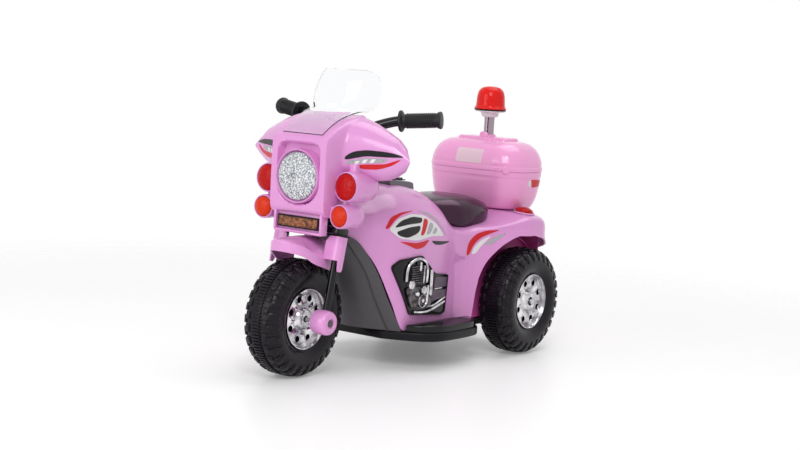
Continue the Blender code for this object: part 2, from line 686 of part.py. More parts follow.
def headlight(joint):
    """Bowl reflector with its rim, and the lens in front."""
    face = HEADLIGHT
    bowl = lathe("headlight_bowl", face, (0, 1, 0),
                 [(-0.004, 0.0490), (0.0085, 0.0495), (0.0165, 0.0495), (0.0165, 0.0395), (0.0205, 0.0390),
                  (0.0235, 0.0180), (0.0215, 0.0178), (0.0150, 0.0370), (0.0045, 0.0440), (0.0045, 0.0455),
                  (-0.004, 0.0460)], 18, PINK, loop=True)
    lens = lathe("headlight_lens", face, (0, 1, 0), [(-0.0105, 0.010), (-0.0090, 0.025), (-0.0050, 0.038),
                                                     (0.0010, 0.0435), (0.0040, 0.0435), (0.0040, 0.0400),
                                                     (0.0015, 0.0390), (-0.0030, 0.0340), (-0.0066, 0.0230),
                                                     (-0.0080, 0.008)], 18, CLEAR)
    for item in (bowl, lens):
        ride(item, joint)


def lamp_lenses(joint):
    for side, word in ((1, "left"), (-1, "right")):
        for label, lamp, radius, colour in (("red", RED_LAMP, 0.0235, RED),
                                            ("amber", AMBER_LAMP, 0.0180, AMBER)):
            lens = lathe(f"{label}_lens_{word}", mirrored(lamp, side), lamp_back(side),
                         [(-0.0065, 0.25 * radius), (-0.0050, 0.65 * radius), (-0.0015, 0.93 * radius),
                          (0.0015, radius), (0.0070, radius)], 12, colour)
            ride(lens, joint)


def leaning_block(name, side, across, behind, along):
    """Block square to the steering axis: its reach outward, behind the axis and up it."""
    rearward = Vector((0, cos(RAKE), -sin(RAKE)))
    corners = [(across[0], behind[0]), (across[1], behind[0]), (across[1], behind[1]), (across[0], behind[1])]
    rings = [[on_steer_axis(h) + Vector((side * x, 0, 0)) + rearward * d for x, d in corners] for h in along]
    return loft(name, rings, None)


def front_fender():
    """Short hooded fender over the front tyre, with a guard in front of each fork leg."""
    rows = []
    for y, half, top, edge in ((-0.3425, 0.0, 0.2510, 0.2325), (-0.3405, 0.0135, 0.2525, 0.2320),
                               (-0.3370, 0.0240, 0.2540, 0.2308), (-0.3280, 0.0340, 0.2558, 0.2280),
                               (-0.3150, 0.0410, 0.2570, 0.2220), (-0.3000, 0.0455, 0.2575, 0.2125),
                               (-0.2800, 0.0490, 0.2575, 0.2050), (-0.2600, 0.0510, 0.2565, 0.1985),
                               (-0.2400, 0.0530, 0.2530, 0.1950)):
        crease = edge + 0.0175
        row = []
        for share in (-1, -0.985, -0.80, -0.45, 0, 0.45, 0.80, 0.985, 1):
            z = edge if abs(share) == 1 else crease + (top - crease) * (1 - abs(share) ** 2.2)
            row.append(Vector((half * share, y, z)))
        rows.append(row)
    hood = sheet("front_fender", rows, WALL, PINK, flip=False)
    weld(hood)
    boss = rod("fender_boss", (0, -0.262, 0.2530), (0, -0.262, 0.2618), 0.008, 16)
    fuse(hood, boss)
    for side in (1, -1):
        front = leaning_block(f"fork_guard_front_{side}", side, (0.046, GUARD_X), (-0.0065, -0.0040),
                              (0.1135, 0.1570))
        cheek = leaning_block(f"fork_guard_side_{side}", side, (GUARD_X - WALL, GUARD_X), (-0.0065, 0.0100),
                              (0.0940, 0.1570))
        fuse(hood, front, cheek)
    return hood


def fork(joint):
    """Crown with the steering stem, two legs, the axle and its pink end caps."""
    crown = lathe("fork_stem", on_steer_axis(0.1650), STEER_AXIS, [(0, STEM_R), (0.1755, STEM_R)], 16, BLACK,
                  GLOSS)
    rearward = Vector((0, cos(RAKE), -sin(RAKE)))
    fuse(crown, leaning_block("crown_guide", 1, (-0.074, 0.074), (-0.013, LEG_SET + 0.011), (0.1605, 0.1740)))
    head = rod("bar_clamp_guide", on_steer_axis(0.325), on_steer_axis(0.356), 0.0165, 16)
    fuse(crown, head)
    bar_centre = on_steer_axis(0.3405)
    cut(crown, rod("bar_bore", bar_centre - Vector((0.05, 0, 0)), bar_centre + Vector((0.05, 0, 0)),
                   BAR_R + GAP, 20))
    ride(crown, joint)
    for side, word in ((1, "left"), (-1, "right")):
        offset = Vector((side * LEG_X, 0, 0)) + rearward * LEG_SET
        cut(crown, rod(f"leg_socket_{word}", on_steer_axis(0.150) + offset, on_steer_axis(0.1700) + offset,
                       LEG_R + GAP, 12))
        leg = rod(f"fork_leg_{word}", on_steer_axis(0) + offset, on_steer_axis(0.1697) + offset, LEG_R, 12,
                  BLACK, GLOSS)
        lug = rod(f"leg_lug_{word}", FRONT_AXLE + Vector((side * (LEG_X - 0.0065), 0, 0)),
                  FRONT_AXLE + Vector((side * (LEG_X + 0.0065), 0, 0)), LUG_R, 16)
        axle_hole = rod(f"leg_axle_hole_{word}", FRONT_AXLE + Vector((side * 0.05, 0, 0)),
                        FRONT_AXLE + Vector((side * 0.08, 0, 0)), FRONT_AXLE_R + GAP, 12)
        cut(fuse(leg, lug), axle_hole)
        cap = lathe(f"axle_cap_{word}", FRONT_AXLE + Vector((side * 0.0530, 0, 0)), (side, 0, 0),
                    [(0, 0.020), (0.003, 0.0225), (0.030, 0.0225), (0.034, 0.020), (0.034, 0.016),
                     (0.0305, 0.0145)], 16, PINK)
        room = LEG_R + GAP
        cut(cap,
            rod(f"cap_leg_bore_{word}", on_steer_axis(-0.001) + offset, on_steer_axis(0.05) + offset, room, 12),
            leaning_block(f"cap_leg_slot_{word}", side, (0.050, LEG_X), (LEG_SET - room, LEG_SET + room),
                          (-0.001, 0.05)),
            rod(f"cap_lug_bore_{word}", FRONT_AXLE + Vector((side * 0.050, 0, 0)),
                FRONT_AXLE + Vector((side * (LEG_X + 0.0068), 0, 0)), LUG_R + GAP, 20),
            rod(f"cap_axle_bore_{word}", FRONT_AXLE + Vector((side * 0.04, 0, 0)),
                FRONT_AXLE + Vector((side * 0.0785, 0, 0)), FRONT_AXLE_R + GAP, 12))
        ride(leg, joint)
        ride(cap, joint)
    axle = rod("front_axle", FRONT_AXLE - Vector((0.078, 0, 0)), FRONT_AXLE + Vector((0.078, 0, 0)),
               FRONT_AXLE_R, 12, STEEL, METAL)
    ride(axle, joint)


def handlebar(joint):
    centre = on_steer_axis(0.3405)
    half = [(0.032, centre.y, centre.z), (0.060, centre.y + 0.016, centre.z + 0.008),
            (0.086, -0.183, 0.4640), (0.113, -0.160, 0.4740), (0.150, -0.1455, 0.4775),
            (0.1840, -0.1322, 0.4807)]
    left = smooth_path(half, 2)
    path = [Vector((-p.x, p.y, p.z)) for p in reversed(left)] + left
    ride(sweep("handlebar", path, BAR_R, 10, BLACK, GLOSS), joint)
    for side, word in ((1, "left"), (-1, "right")):
        start, end = Vector((side * 0.116, -0.1590, 0.4743)), Vector((side * 0.1892, -0.1302, 0.4813))
        span = end - start
        profile = [(0, 0.0100), (0, 0.0195), (0.0035, 0.0200), (0.006, 0.0190), (0.0065, 0.0135)]
        ribs = 3
        for k in range(ribs):
            at = 0.009 + (span.length - 0.016) * k / ribs
            profile += [(at, 0.0128), (at + 0.003, 0.0142)]
        profile += [(span.length - 0.004, 0.0158), (span.length, 0.0158), (span.length, 0.0110)]
        grip = lathe(f"grip_{word}", start, span, profile, 12, BLACK, SATIN)
        hollow = sweep(f"grip_bore_{word}", [Vector((side * p.x, p.y, p.z)) for p in left], BAR_R + 0.0006,
                       10, None)
        cut(grip, hollow)
        ride(grip, joint)


def tyre(name, centre, outer_side, joint):
    """Moulded wheel: lugged tread, sidewalls, hub bore, and a recess for each hubcap."""
    segments = 28
    bore = (FRONT_AXLE_R if name.startswith("front") else REAR_AXLE_R) + GAP
    outer = [(0.0165, bore), (0.0165, 0.0560), (0.0280, 0.0580), (0.0370, 0.0780), (0.0335, 0.0950),
             (0.0285, 0.1045), (0.0120, 0.1050), (0.0105, TYRE_R)]
    plain = [(0.0260, bore), (0.0300, 0.0580)] + outer[3:]
    inner = outer if name.startswith("front") else plain
    profile = [(-a, r) for a, r in inner] + [(a, r) for a, r in reversed(outer)]
    points, count = [], len(profile)
    for k in range(segments):
        angle = 2 * pi * k / segments - 0.5 * pi
        lug = 0.003 if (k + 1) % 4 < 3 else 0.0
        for a, r in profile:
            if 0.1040 < r < 0.1060:
                r += lug
            points.append(centre + Vector((outer_side * a, cos(angle) * r, sin(angle) * r)))
    faces = []
    for k in range(segments):
        nxt = (k + 1) % segments
        for c in range(count):
            d = (c + 1) % count
            faces.append((k * count + c, k * count + d, nxt * count + d, nxt * count + c))
    ride(solid(name, points, faces, BLACK, SATIN), joint)


def hubcap(name, centre, side, joint, bore):
    """Chrome cap with a raised ring, a dished web with eight holes and a boss."""
    profile = [(0.0168, bore), (0.0168, 0.0540), (0.0305, 0.0553), (0.0220, 0.0470), (0.0215, 0.0230),
               (0.0290, 0.0190), (0.0290, bore)]
    cap = lathe(name, centre, (side, 0, 0), profile, 16, CHROME, METAL, loop=True)
    for k in range(8):
        angle = 2 * pi * (k + 0.5) / 8
        at = Vector((0, cos(angle), sin(angle))) * 0.0360
        hole = rod(f"{name}_hole_{k}", centre + at + Vector((side * 0.015, 0, 0)),
                   centre + at + Vector((side * 0.035, 0, 0)), 0.0062, 6)
        cut(cap, hole)
    ride(cap, joint)


def gear_outline(teeth, turn):
    """Points (a, b) of a spur gear with straight-sided teeth and generous backlash."""
    pitch_r = 0.5 * GEAR_MODULE * teeth
    root, tip = pitch_r - 1.15 * GEAR_MODULE, pitch_r + 0.85 * GEAR_MODULE
    step = 2 * pi / teeth
    points = []
    for k in range(teeth):
        middle = turn + k * step
        for share, radius in ((-0.27, root), (-0.09, tip), (0.09, tip), (0.27, root)):
            points.append((radius * cos(middle + share * step), radius * sin(middle + share * step)))
    return points


def gear(name, centre, teeth, low_x, high_x, turn, colour):
    ring = gear_outline(teeth, turn)
    return loft(name, [[centre + Vector((x, a, b)) for a, b in ring] for x in (low_x, high_x)], colour, SATIN)


def drive(wheel_joint, motor_joint):
    """Motor, its pinion, the output gear on the right wheel, and their two-part case."""
    reach = 0.5 * GEAR_MODULE * (GEAR_TEETH + PINION_TEETH) + GAP
    axle, motor_at = REAR_AXLE, REAR_AXLE - Vector((0, reach, 0))
    output = gear("output_gear", axle, GEAR_TEETH, -0.0715, -0.0625, pi, CLEAR)
    fuse(output, rod("output_hub", (-0.0990 - 0.004, axle.y, axle.z), (-0.0640, axle.y, axle.z),
                     OUTPUT_HUB_R, 20))
    cut(output, rod("output_bore", (-0.12, axle.y, axle.z), (-0.03, axle.y, axle.z), REAR_AXLE_R + GAP, 20))
    ride(output, wheel_joint)
    pinion = gear("motor_pinion", motor_at, PINION_TEETH, -0.0725, -0.0615, pi / PINION_TEETH, STEEL)
    fuse(pinion, rod("pinion_shaft", motor_at + Vector((-0.0755, 0, 0)), motor_at + Vector((-0.0430, 0, 0)),
                     0.0020, 10))
    ride(pinion, motor_joint)
    case = block("gearbox_case", (-0.0775, 0.2130, 0.0740), (-0.0575, 0.2975, 0.1400), BLACK, SATIN)
    cut(case, rod("gear_pocket", (-0.0750, axle.y, axle.z), (-0.05, axle.y, axle.z), 0.0285, 32),
        rod("pinion_pocket", motor_at + Vector((-0.0750 - motor_at.x, 0, 0)),
            motor_at + Vector((-0.05, 0, 0)), 0.0090, 20),
        rod("case_bore", (-0.09, axle.y, axle.z), (-0.07, axle.y, axle.z), 0.0130, 20),
        rod("case_shaft_bore", motor_at + Vector((-0.0765, 0, 0)), motor_at + Vector((-0.07, 0, 0)), 0.0023,
            10))
    cover = block("gearbox_cover", (-0.0572, 0.2130, 0.0740), (-0.0542, 0.2975, 0.1400), BLACK, SATIN)
    cut(cover, rod("cover_bore", (-0.06, axle.y, axle.z), (-0.05, axle.y, axle.z), REAR_AXLE_R + GAP, 20),
        rod("cover_shaft_bore", motor_at + Vector((-0.06, 0, 0)), motor_at + Vector((-0.05, 0, 0)), 0.0024,
            10))
    motor = rod("motor", motor_at + Vector((-0.0539, 0, 0)), motor_at + Vector((0.0, 0, 0)), 0.0180, 24,
                STEEL, METAL)
    cut(motor, rod("motor_shaft_bore", motor_at + Vector((-0.06, 0, 0)), motor_at + Vector((-0.0425, 0, 0)),
                   0.0024, 10))


def control_panel(rocker_joint, horn_joint, music_joint):
    """Switch panel on the tank top, with a rocker and two push buttons."""
    rings = []
    for y, top in ((-0.056, 0.3515), (-0.054, 0.3540), (-0.030, 0.3530), (0.0, 0.3505), (0.018, 0.3480),
                   (0.022, 0.3455)):
        under = [Vector((x, y, skin_z(y, x) + 0.0005)) for x in (-0.028, -0.014, 0, 0.014, 0.028)]
        over = [Vector((x, y, top)) for x in (0.026, 0.013, 0, -0.013, -0.026)]
        rings.append(under + over)
    panel = loft("control_panel", rings, DARK_GREY, SATIN)
    slot = block("rocker_slot", (-0.0085, -0.0080, 0.330), (0.0085, 0.0120, 0.360))
    cut(panel, slot)
    tread = ((-0.0070, 0.3455), (0.0110, 0.3455), (0.0110, 0.3535), (0.0020, 0.3512), (-0.0070, 0.3535))
    rocker = loft("power_rocker", [[Vector((x, y, z)) for y, z in tread] for x in (-0.0075, 0.0075)], BLACK)
    ride(rocker, rocker_joint)
    for side, name, joint in ((1, "horn_button", horn_joint), (-1, "music_button", music_joint)):
        at = Vector((side * 0.015, -0.035, 0))
        cut(panel, rod(f"{name}_hole", at + Vector((0, 0, 0.33)), at + Vector((0, 0, 0.37)), 0.0064, 16))
        button = lathe(name, at + Vector((0, 0, 0.3485)), (0, 0, 1),
                       [(0, 0.0060), (0.0065, 0.0060), (0.0078, 0.0045)], 16, PINK)
        ride(button, joint)


def pedal(joint):
    """Accelerator pedal hinged at its rear edge on the right footboard."""
    outline = ((0.0300, 0.0900), (0.0300, 0.0940), (-0.0300, 0.1020), (-0.0320, 0.0980), (-0.0300, 0.0965))
    plate = loft("pedal", [[Vector((x, y, z)) for y, z in outline] for x in (-0.1480, -0.1100)], BLACK, SATIN)
    bar = rod("pedal_barrel", (-0.148, 0.030, 0.0915), (-0.110, 0.030, 0.0915), 0.0032, 12)
    fuse(plate, bar)
    cut(plate, rod("pedal_bore", (-0.155, 0.030, 0.0915), (-0.10, 0.030, 0.0915), 0.0016, 10))
    ride(plate, joint)


def joint_empty(name, place):
    empty = bpy.data.objects.new(name, None)
    empty.location = place
    bpy.context.scene.collection.objects.link(empty)
    return empty


def ride(item, empty):
    """Moves an object's origin to its joint and parents it there."""
    shift = Vector(empty.location)
    item.data.transform(Matrix.Translation(-shift))
    item.parent = empty


def build():
    clear_scene()
    steer = joint_empty("steer_joint", FRONT_AXLE)
    front = joint_empty("front_wheel_joint", FRONT_AXLE)
    rear_left = joint_empty("rear_left_joint", REAR_AXLE + Vector((REAR_WHEEL_X, 0, 0)))
    rear_right = joint_empty("rear_right_joint", REAR_AXLE - Vector((REAR_WHEEL_X, 0, 0)))
    reach = 0.5 * GEAR_MODULE * (GEAR_TEETH + PINION_TEETH) + GAP
    motor_joint = joint_empty("motor_joint", REAR_AXLE - Vector((0, reach, 0)))
    lid_joint = joint_empty("lid_joint", Vector((0, HINGE_Y, BOX_SEAM)))
    pedal_joint = joint_empty("pedal_joint", Vector((-0.129, 0.030, 0.0915)))
    rocker_joint = joint_empty("rocker_joint", Vector((0, 0.002, 0.3480)))
    horn_joint = joint_empty("horn_joint", Vector((0.015, -0.035, 0.350)))
    music_joint = joint_empty("music_joint", Vector((-0.015, -0.035, 0.350)))

    body_shell(1, "body_left_shell")
    body_shell(-1, "body_right_shell")
    front_shield()
    floor_pan()
    steering_frame()
    steering_bush("lower_steering_bush", (0.1755, 0.188), "bottom")
    steering_bush("upper_steering_bush", (0.216, 0.2285), "top")
    rear_cover()
    seat()
    for side, word in ((1, "left"), (-1, "right")):
        arch_liner(side, f"arch_liner_{word}")
        engine_panel(side, f"engine_panel_{word}")
        tail_lamp(side, f"tail_lamp_{word}")
    box_base()
    ride(box_lid(), lid_joint)
    rod("box_hinge_pin", (-0.036, HINGE_Y, BOX_SEAM), (0.036, HINGE_Y, BOX_SEAM), 0.0013, 10, STEEL, METAL)
    beacon_parts(lid_joint)

    ride(fairing(), steer)
    ride(fairing_bracket(), steer)
    ride(windshield(), steer)
    headlight(steer)
    lamp_lenses(steer)
    plate = block("number_plate", (-0.0475, -0.2955, 0.2715), (0.0475, -0.2908, 0.2940), BLACK, SATIN)
    ride(plate, steer)
    ride(front_fender(), steer)
    fork(steer)
    handlebar(steer)

    tyre("front_tyre", FRONT_AXLE, 1, front)
    for side, word in ((1, "left"), (-1, "right")):
        hubcap(f"front_hubcap_{word}", FRONT_AXLE, side, front, 0.0060)
        joint = rear_left if side > 0 else rear_right
        centre = REAR_AXLE + Vector((side * REAR_WHEEL_X, 0, 0))
        tyre(f"rear_tyre_{word}", centre, side, joint)
        hubcap(f"rear_hubcap_{word}", centre, side, joint, 0.0090)
    rod("rear_axle", (-0.1690, REAR_AXLE.y, TYRE_R), (0.1690, REAR_AXLE.y, TYRE_R), REAR_AXLE_R, 20, STEEL,
        METAL)
    drive(rear_right, motor_joint)
    block("battery", (-0.0500, 0.0100, 0.0728), (0.0500, 0.0800, 0.1430), DARK_GREY, SATIN, 0.002)
    control_panel(rocker_joint, horn_joint, music_joint)
    pedal(pedal_joint)


build()
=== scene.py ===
import json
import logging
from dataclasses import dataclass, field
from enum import Enum
from functools import partial
from math import cos, pi, radians, sin
from typing import Callable, Iterable, Optional, Sequence

import bmesh
import bpy
from mathutils import Matrix, Vector
from mathutils.geometry import delaunay_2d_cdt

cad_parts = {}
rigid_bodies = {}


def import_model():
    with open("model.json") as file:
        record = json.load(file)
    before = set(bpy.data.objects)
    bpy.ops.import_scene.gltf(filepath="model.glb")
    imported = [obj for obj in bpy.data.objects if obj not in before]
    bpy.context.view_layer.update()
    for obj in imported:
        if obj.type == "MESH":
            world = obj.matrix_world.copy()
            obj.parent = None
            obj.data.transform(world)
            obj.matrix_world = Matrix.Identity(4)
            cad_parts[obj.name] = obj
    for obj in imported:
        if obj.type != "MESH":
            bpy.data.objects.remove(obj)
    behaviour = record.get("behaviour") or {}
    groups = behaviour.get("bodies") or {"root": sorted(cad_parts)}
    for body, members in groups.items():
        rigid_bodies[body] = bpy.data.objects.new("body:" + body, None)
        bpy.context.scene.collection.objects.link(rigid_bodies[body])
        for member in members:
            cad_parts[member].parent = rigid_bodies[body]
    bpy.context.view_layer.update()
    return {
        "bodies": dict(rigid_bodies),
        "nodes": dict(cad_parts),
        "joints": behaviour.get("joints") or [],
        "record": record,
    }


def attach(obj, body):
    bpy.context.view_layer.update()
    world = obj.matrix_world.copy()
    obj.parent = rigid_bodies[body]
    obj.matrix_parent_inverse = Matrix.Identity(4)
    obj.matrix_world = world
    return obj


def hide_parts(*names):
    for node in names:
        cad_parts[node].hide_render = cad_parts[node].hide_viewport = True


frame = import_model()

logging.basicConfig(level=logging.INFO, format="%(message)s")
LOG = logging.getLogger("tricycle")

Mesh = bpy.types.Mesh
Socket = bpy.types.NodeSocket
Row = list[Vector]
Colour = tuple[float, float, float]
Profile = Sequence[tuple[float, float]]

TYRE_R = 0.108
FRONT_AXLE = Vector((0, -0.292, TYRE_R))
REAR_AXLE = Vector((0, 0.266, TYRE_R))
REAR_WHEEL_X = 0.136
X_AXIS, Y_AXIS, Z_AXIS = Matrix.Identity(3)
RAKE = radians(12)
STEER_AXIS = Vector((0, sin(RAKE), cos(RAKE)))
REARWARD = Vector((0, cos(RAKE), -sin(RAKE)))
WALL = 0.0025


def mm(rows: Iterable[Sequence[float]]) -> list[tuple[float, ...]]:
    """Rows of millimetres in metres."""
    return [tuple(value / 1000 for value in row) for row in rows]


class Side(Enum):
    """The two sides of the vehicle, by the sign of X."""

    LEFT = 1
    RIGHT = -1

    @property
    def word(self) -> str:
        """The side's name as the CAD nodes end."""
        return self.name.lower()

    def at(self, x: float, y: float = 0.0, z: float = 0.0) -> Vector:
        """A point or a step at a distance out from the middle plane."""
        return Vector((self.value * x, y, z))


class Body(Enum):
    """The rigid bodies of the CAD frame."""

    CHASSIS = "chassis"
    STEERING = "steering"
    FRONT_WHEEL = "front_wheel"
    LEFT_WHEEL = "rear_left_wheel"
    RIGHT_WHEEL = "rear_right_wheel"
    LID = "tail_box_lid"
    PEDAL = "pedal_lever"
    ROCKER = "rocker"
    HORN = "horn"
    MUSIC = "music"


class NodeKit:
    """Short calls for building node trees."""

    def __init__(self, tree: bpy.types.NodeTree) -> None:
        """Takes the tree that the calls add to."""
        self.tree = tree
        self.keys: dict[str, str] = {}

    @classmethod
    def group(cls, name: str, kind: str, inputs: Sequence[tuple[str, str, object]],
            outputs: Sequence[tuple[str, str]]) -> "NodeKit":
        """Starts a node group.

        Args:
            name: The group's name.
            kind: Its tree type.
            inputs: Name, socket type and default of each input.
            outputs: Name and socket type of each output.
        """
        kit = cls(bpy.data.node_groups.new(name, kind))
        sockets = kit.tree.interface
        for label, socket_kind in outputs:
            sockets.new_socket(label, in_out="OUTPUT", socket_type=f"NodeSocket{socket_kind}")
        for label, socket_kind, value in inputs:
            socket = sockets.new_socket(label, in_out="INPUT", socket_type=f"NodeSocket{socket_kind}")
            if value is not None:
                socket.default_value = value
            kit.keys[label] = socket.identifier
        return kit

    def given(self) -> bpy.types.NodeOutputs:
        """The sockets that bring the group's inputs."""
        return self.tree.nodes.new("NodeGroupInput").outputs

    def fill(self, node: bpy.types.Node, **sockets: object) -> None:
        """Links or fills a node's inputs.

        Args:
            node: The node.
            **sockets: Inputs by name, with spaces written as underscores, or as i and a number.
        """
        for key, value in sockets.items():
            label = key.replace("_", " ")
            target = node.inputs[int(label[1:]) if label[0] == "i" and label[1:].isdigit() else label]
            if isinstance(value, Socket):
                self.tree.links.new(value, target)
            else:
                target.default_value = value

    def node(self, kind: str, settings: Optional[dict[str, object]] = None,
            **sockets: object) -> bpy.types.Node:
        """Adds a node.

        Args:
            kind: The node's type name.
            settings: Properties of the node.
            **sockets: Inputs, as fill takes them.

        Returns:
            The node.
        """
        made = self.tree.nodes.new(kind)
        for key, value in (settings or {}).items():
            setattr(made, key, value)
        self.fill(made, **sockets)
        return made

    def math(self, operation: str, *values: object, **settings: object) -> Socket:
        """A math node on two or three values or sockets."""
        sockets = {f"i{k}": value for k, value in enumerate(values)}
        return self.node("ShaderNodeMath", {"operation": operation, **settings}, **sockets).outputs[0]


@dataclass(frozen=True)
class Finish:
    """A procedural surface on a Principled shader."""

    name: str
    colour: Colour
    second: Colour
    drift: float = 0.35
    roughness: float = 0.25
    smudge: float = 0.06
    grain: float = 0.05
    grain_scale: float = 900.0
    wave: float = 0.03
    metallic: float = 0.0
    coat: float = 0.0
    transmission: float = 0.0
    specular: float = 0.5
    tint: Colour = (1.0, 1.0, 1.0)
    facets: float = 0.0
    facet_scale: float = 0.0
    drift_scale: float = 9.0
    contrast: float = 1.0

    @staticmethod
    def surface() -> bpy.types.ShaderNodeTree:
        """Colour drift, fine grain and soft waviness of a moulded surface.

        Returns:
            The node group, made once and then reused.
        """
        found = bpy.data.node_groups.get("MouldedSurface")
        if found:
            return found
        grey = (0.8, 0.8, 0.8, 1)
        kit = NodeKit.group("MouldedSurface", "ShaderNodeTree",
            (("Colour", "Color", grey), ("Second", "Color", grey), ("Drift", "Float", 0.3),
            ("Grain Scale", "Float", 900.0), ("Grain", "Float", 0.05), ("Wave", "Float", 0.02),
            ("Roughness", "Float", 0.3), ("Smudge", "Float", 0.08), ("Drift Scale", "Float", 9.0),
            ("Contrast", "Float", 1.0)), (("Colour", "Color"), ("Roughness", "Float"),
            ("Normal", "Vector")))
        given = kit.given()
        place = kit.node("ShaderNodeTexCoord").outputs["Object"]

        def noise(scale: object, detail: float) -> Socket:
            """A noise pattern over the piece."""
            return kit.node("ShaderNodeTexNoise", Vector=place, Scale=scale, Detail=detail).outputs["Fac"]

        spread = kit.math("SUBTRACT", noise(given["Drift Scale"], 2), 0.5)
        shade = kit.math("MULTIPLY_ADD", spread, given["Contrast"], 0.5, use_clamp=True)
        mix = kit.node("ShaderNodeMix", {"data_type": "RGBA"},
            Factor=kit.math("MULTIPLY", shade, given["Drift"]), A=given["Colour"], B=given["Second"])
        rough = kit.math("MULTIPLY_ADD", noise(55.0, 4), given["Smudge"], given["Roughness"])
        soft = kit.node("ShaderNodeBump", Distance=0.0015, Height=noise(38.0, 1), Strength=given["Wave"])
        fine = kit.node("ShaderNodeBump", Distance=0.0004, Height=noise(given["Grain Scale"], 2),
            Strength=given["Grain"], Normal=soft.outputs["Normal"])
        kit.node("NodeGroupOutput", Colour=mix.outputs["Result"], Roughness=rough,
            Normal=fine.outputs["Normal"])
        return kit.tree

    def material(self) -> bpy.types.Material:
        """Builds the material.

        Returns:
            The material, made once and then reused.
        """
        # The solids bring materials of their own, so these names have an ending of their own
        label = f"{self.name}_surface"
        found = bpy.data.materials.get(label)
        if found:
            return found
        made = bpy.data.materials.new(label)
        made.use_nodes = True
        kit = NodeKit(made.node_tree)
        shared = kit.node("ShaderNodeGroup", {"node_tree": self.surface()}, Colour=(*self.colour, 1),
            Second=(*self.second, 1), Drift=self.drift, Grain_Scale=self.grain_scale, Grain=self.grain,
            Wave=self.wave, Roughness=self.roughness - 0.5 * self.smudge, Smudge=self.smudge,
            Drift_Scale=self.drift_scale, Contrast=self.contrast).outputs
        normal = self._facets(kit, shared["Normal"]) if self.facets else shared["Normal"]
        kit.fill(made.node_tree.nodes["Principled BSDF"], Base_Color=shared["Colour"],
            Roughness=shared["Roughness"] if self.smudge else self.roughness, Normal=normal,
            Metallic=self.metallic, Coat_Weight=self.coat, Coat_Roughness=0.06,
            Transmission_Weight=self.transmission, Specular_IOR_Level=self.specular,
            Specular_Tint=(*self.tint, 1))
        return made

    def _facets(self, kit: NodeKit, normal: Socket) -> Socket:
        """Adds moulded facets to a lens.

        Args:
            normal: The normal that the facets are laid over.

        Returns:
            The normal socket with the facets in it.
        """
        place = kit.node("ShaderNodeTexCoord").outputs["Object"]
        cells = kit.node("ShaderNodeTexVoronoi", Vector=place, Scale=self.facet_scale)
        return kit.node("ShaderNodeBump", Strength=self.facets, Distance=0.002,
            Height=cells.outputs["Distance"], Normal=normal).outputs["Normal"]


PINK = Finish("pink_plastic", (0.755, 0.315, 0.665), (0.78, 0.34, 0.69), drift=0.25, coat=0.4,
    roughness=0.24, smudge=0.02, grain=0.03, wave=0.02, specular=0.4)
# Box pink: the box's own pink, lightened further as painted light for the strong light that falls on the box
# front.
BOX_PINK_AND_PAINTED_LIGHT = Finish("box_pink_plastic", (0.95, 0.38, 0.71), (0.96, 0.41, 0.73), drift=0.25, coat=0.5,
    roughness=0.22, smudge=0.02, grain=0.03, wave=0.02, specular=0.4)
# Deep pink: the push buttons' own colour. On the arch liners and the wall behind each rear wheel it is
# painted shade, bright and saturated like the pink inside of the rear fender in shade.
DEEP_PINK_AND_PAINTED_SHADE = Finish("deep_pink_plastic", (0.78, 0.1, 0.42), (0.82, 0.13, 0.47), roughness=0.45, grain=0.15)
SEAT_BLACK = Finish("seat_black", (0.006, 0.003, 0.006), (0.012, 0.006, 0.011), roughness=0.2, grain=0.1,
    grain_scale=1400.0, specular=0.6, tint=(1.0, 0.5, 0.82))
BLACK = Finish("black_moulding", (0.005, 0.004, 0.006), (0.009, 0.008, 0.01), roughness=0.32, grain=0.1,
    specular=0.18)
GLOSS_BLACK = Finish("black_enamel", (0.004, 0.003, 0.004), (0.006, 0.005, 0.007), roughness=0.1,
    specular=0.3, grain=0.02, wave=0.02)
SHIELD_GREY = Finish("shield_grey", (0.088, 0.083, 0.092), (0.108, 0.102, 0.112), roughness=0.36,
    grain=0.12, specular=0.3)
PLUM_GREY = Finish("plum_grey", (0.07, 0.042, 0.072), (0.11, 0.075, 0.112), drift=0.8, roughness=0.22,
    specular=0.4, drift_scale=60.0, contrast=3.0)
CAST_METAL = Finish("cast_metal", (0.012, 0.01, 0.012), (0.17, 0.15, 0.16), drift=0.9, roughness=0.28,
    metallic=0.7, drift_scale=75.0, contrast=4.0)
PANEL_GREY = Finish("panel_grey", (0.15, 0.14, 0.155), (0.18, 0.17, 0.185), roughness=0.34, specular=0.3)
TYRE_BLACK = Finish("tyre_black", (0.006, 0.004, 0.007), (0.011, 0.008, 0.013), drift=0.6, roughness=0.26,
    smudge=0.16, grain=0.1, grain_scale=700.0, wave=0.06, specular=0.2)
RUBBER = Finish("grip_rubber", (0.01, 0.01, 0.012), (0.017, 0.016, 0.018), roughness=0.46, grain=0.2,
    specular=0.3)
CHROME = Finish("plated_chrome", (0.8, 0.79, 0.81), (0.26, 0.24, 0.27), drift=0.9, roughness=0.1,
    metallic=1.0, wave=0.1, smudge=0.05, drift_scale=55.0, contrast=3.0)
DARK_CHROME = Finish("smoked_chrome", (0.36, 0.28, 0.33), (0.27, 0.22, 0.26), roughness=0.14,
    metallic=1.0)
STEEL = Finish("turned_steel", (0.56, 0.56, 0.58), (0.48, 0.48, 0.5), roughness=0.28, metallic=1.0,
    grain=0.1)
RED_LENS = Finish("red_lens", (0.5, 0.004, 0.004), (0.38, 0.002, 0.002), roughness=0.16, specular=0.15,
    facets=0.25, facet_scale=260.0)
AMBER_LENS = Finish("amber_lens", (0.7, 0.036, 0.006), (0.56, 0.02, 0.004), roughness=0.16, specular=0.15,
    facets=0.25, facet_scale=260.0)
DOME_RED = Finish("dome_red", (0.84, 0.008, 0.006), (0.76, 0.005, 0.004), roughness=0.12, coat=0.12,
    specular=0.15)
LAMP_GLASS = Finish("lamp_glass", (0.95, 0.96, 0.98), (0.22, 0.24, 0.28), drift=1.0, roughness=0.12,
    coat=0.5, transmission=0.1, facets=0.9, facet_scale=240.0, drift_scale=330.0, contrast=5.0)
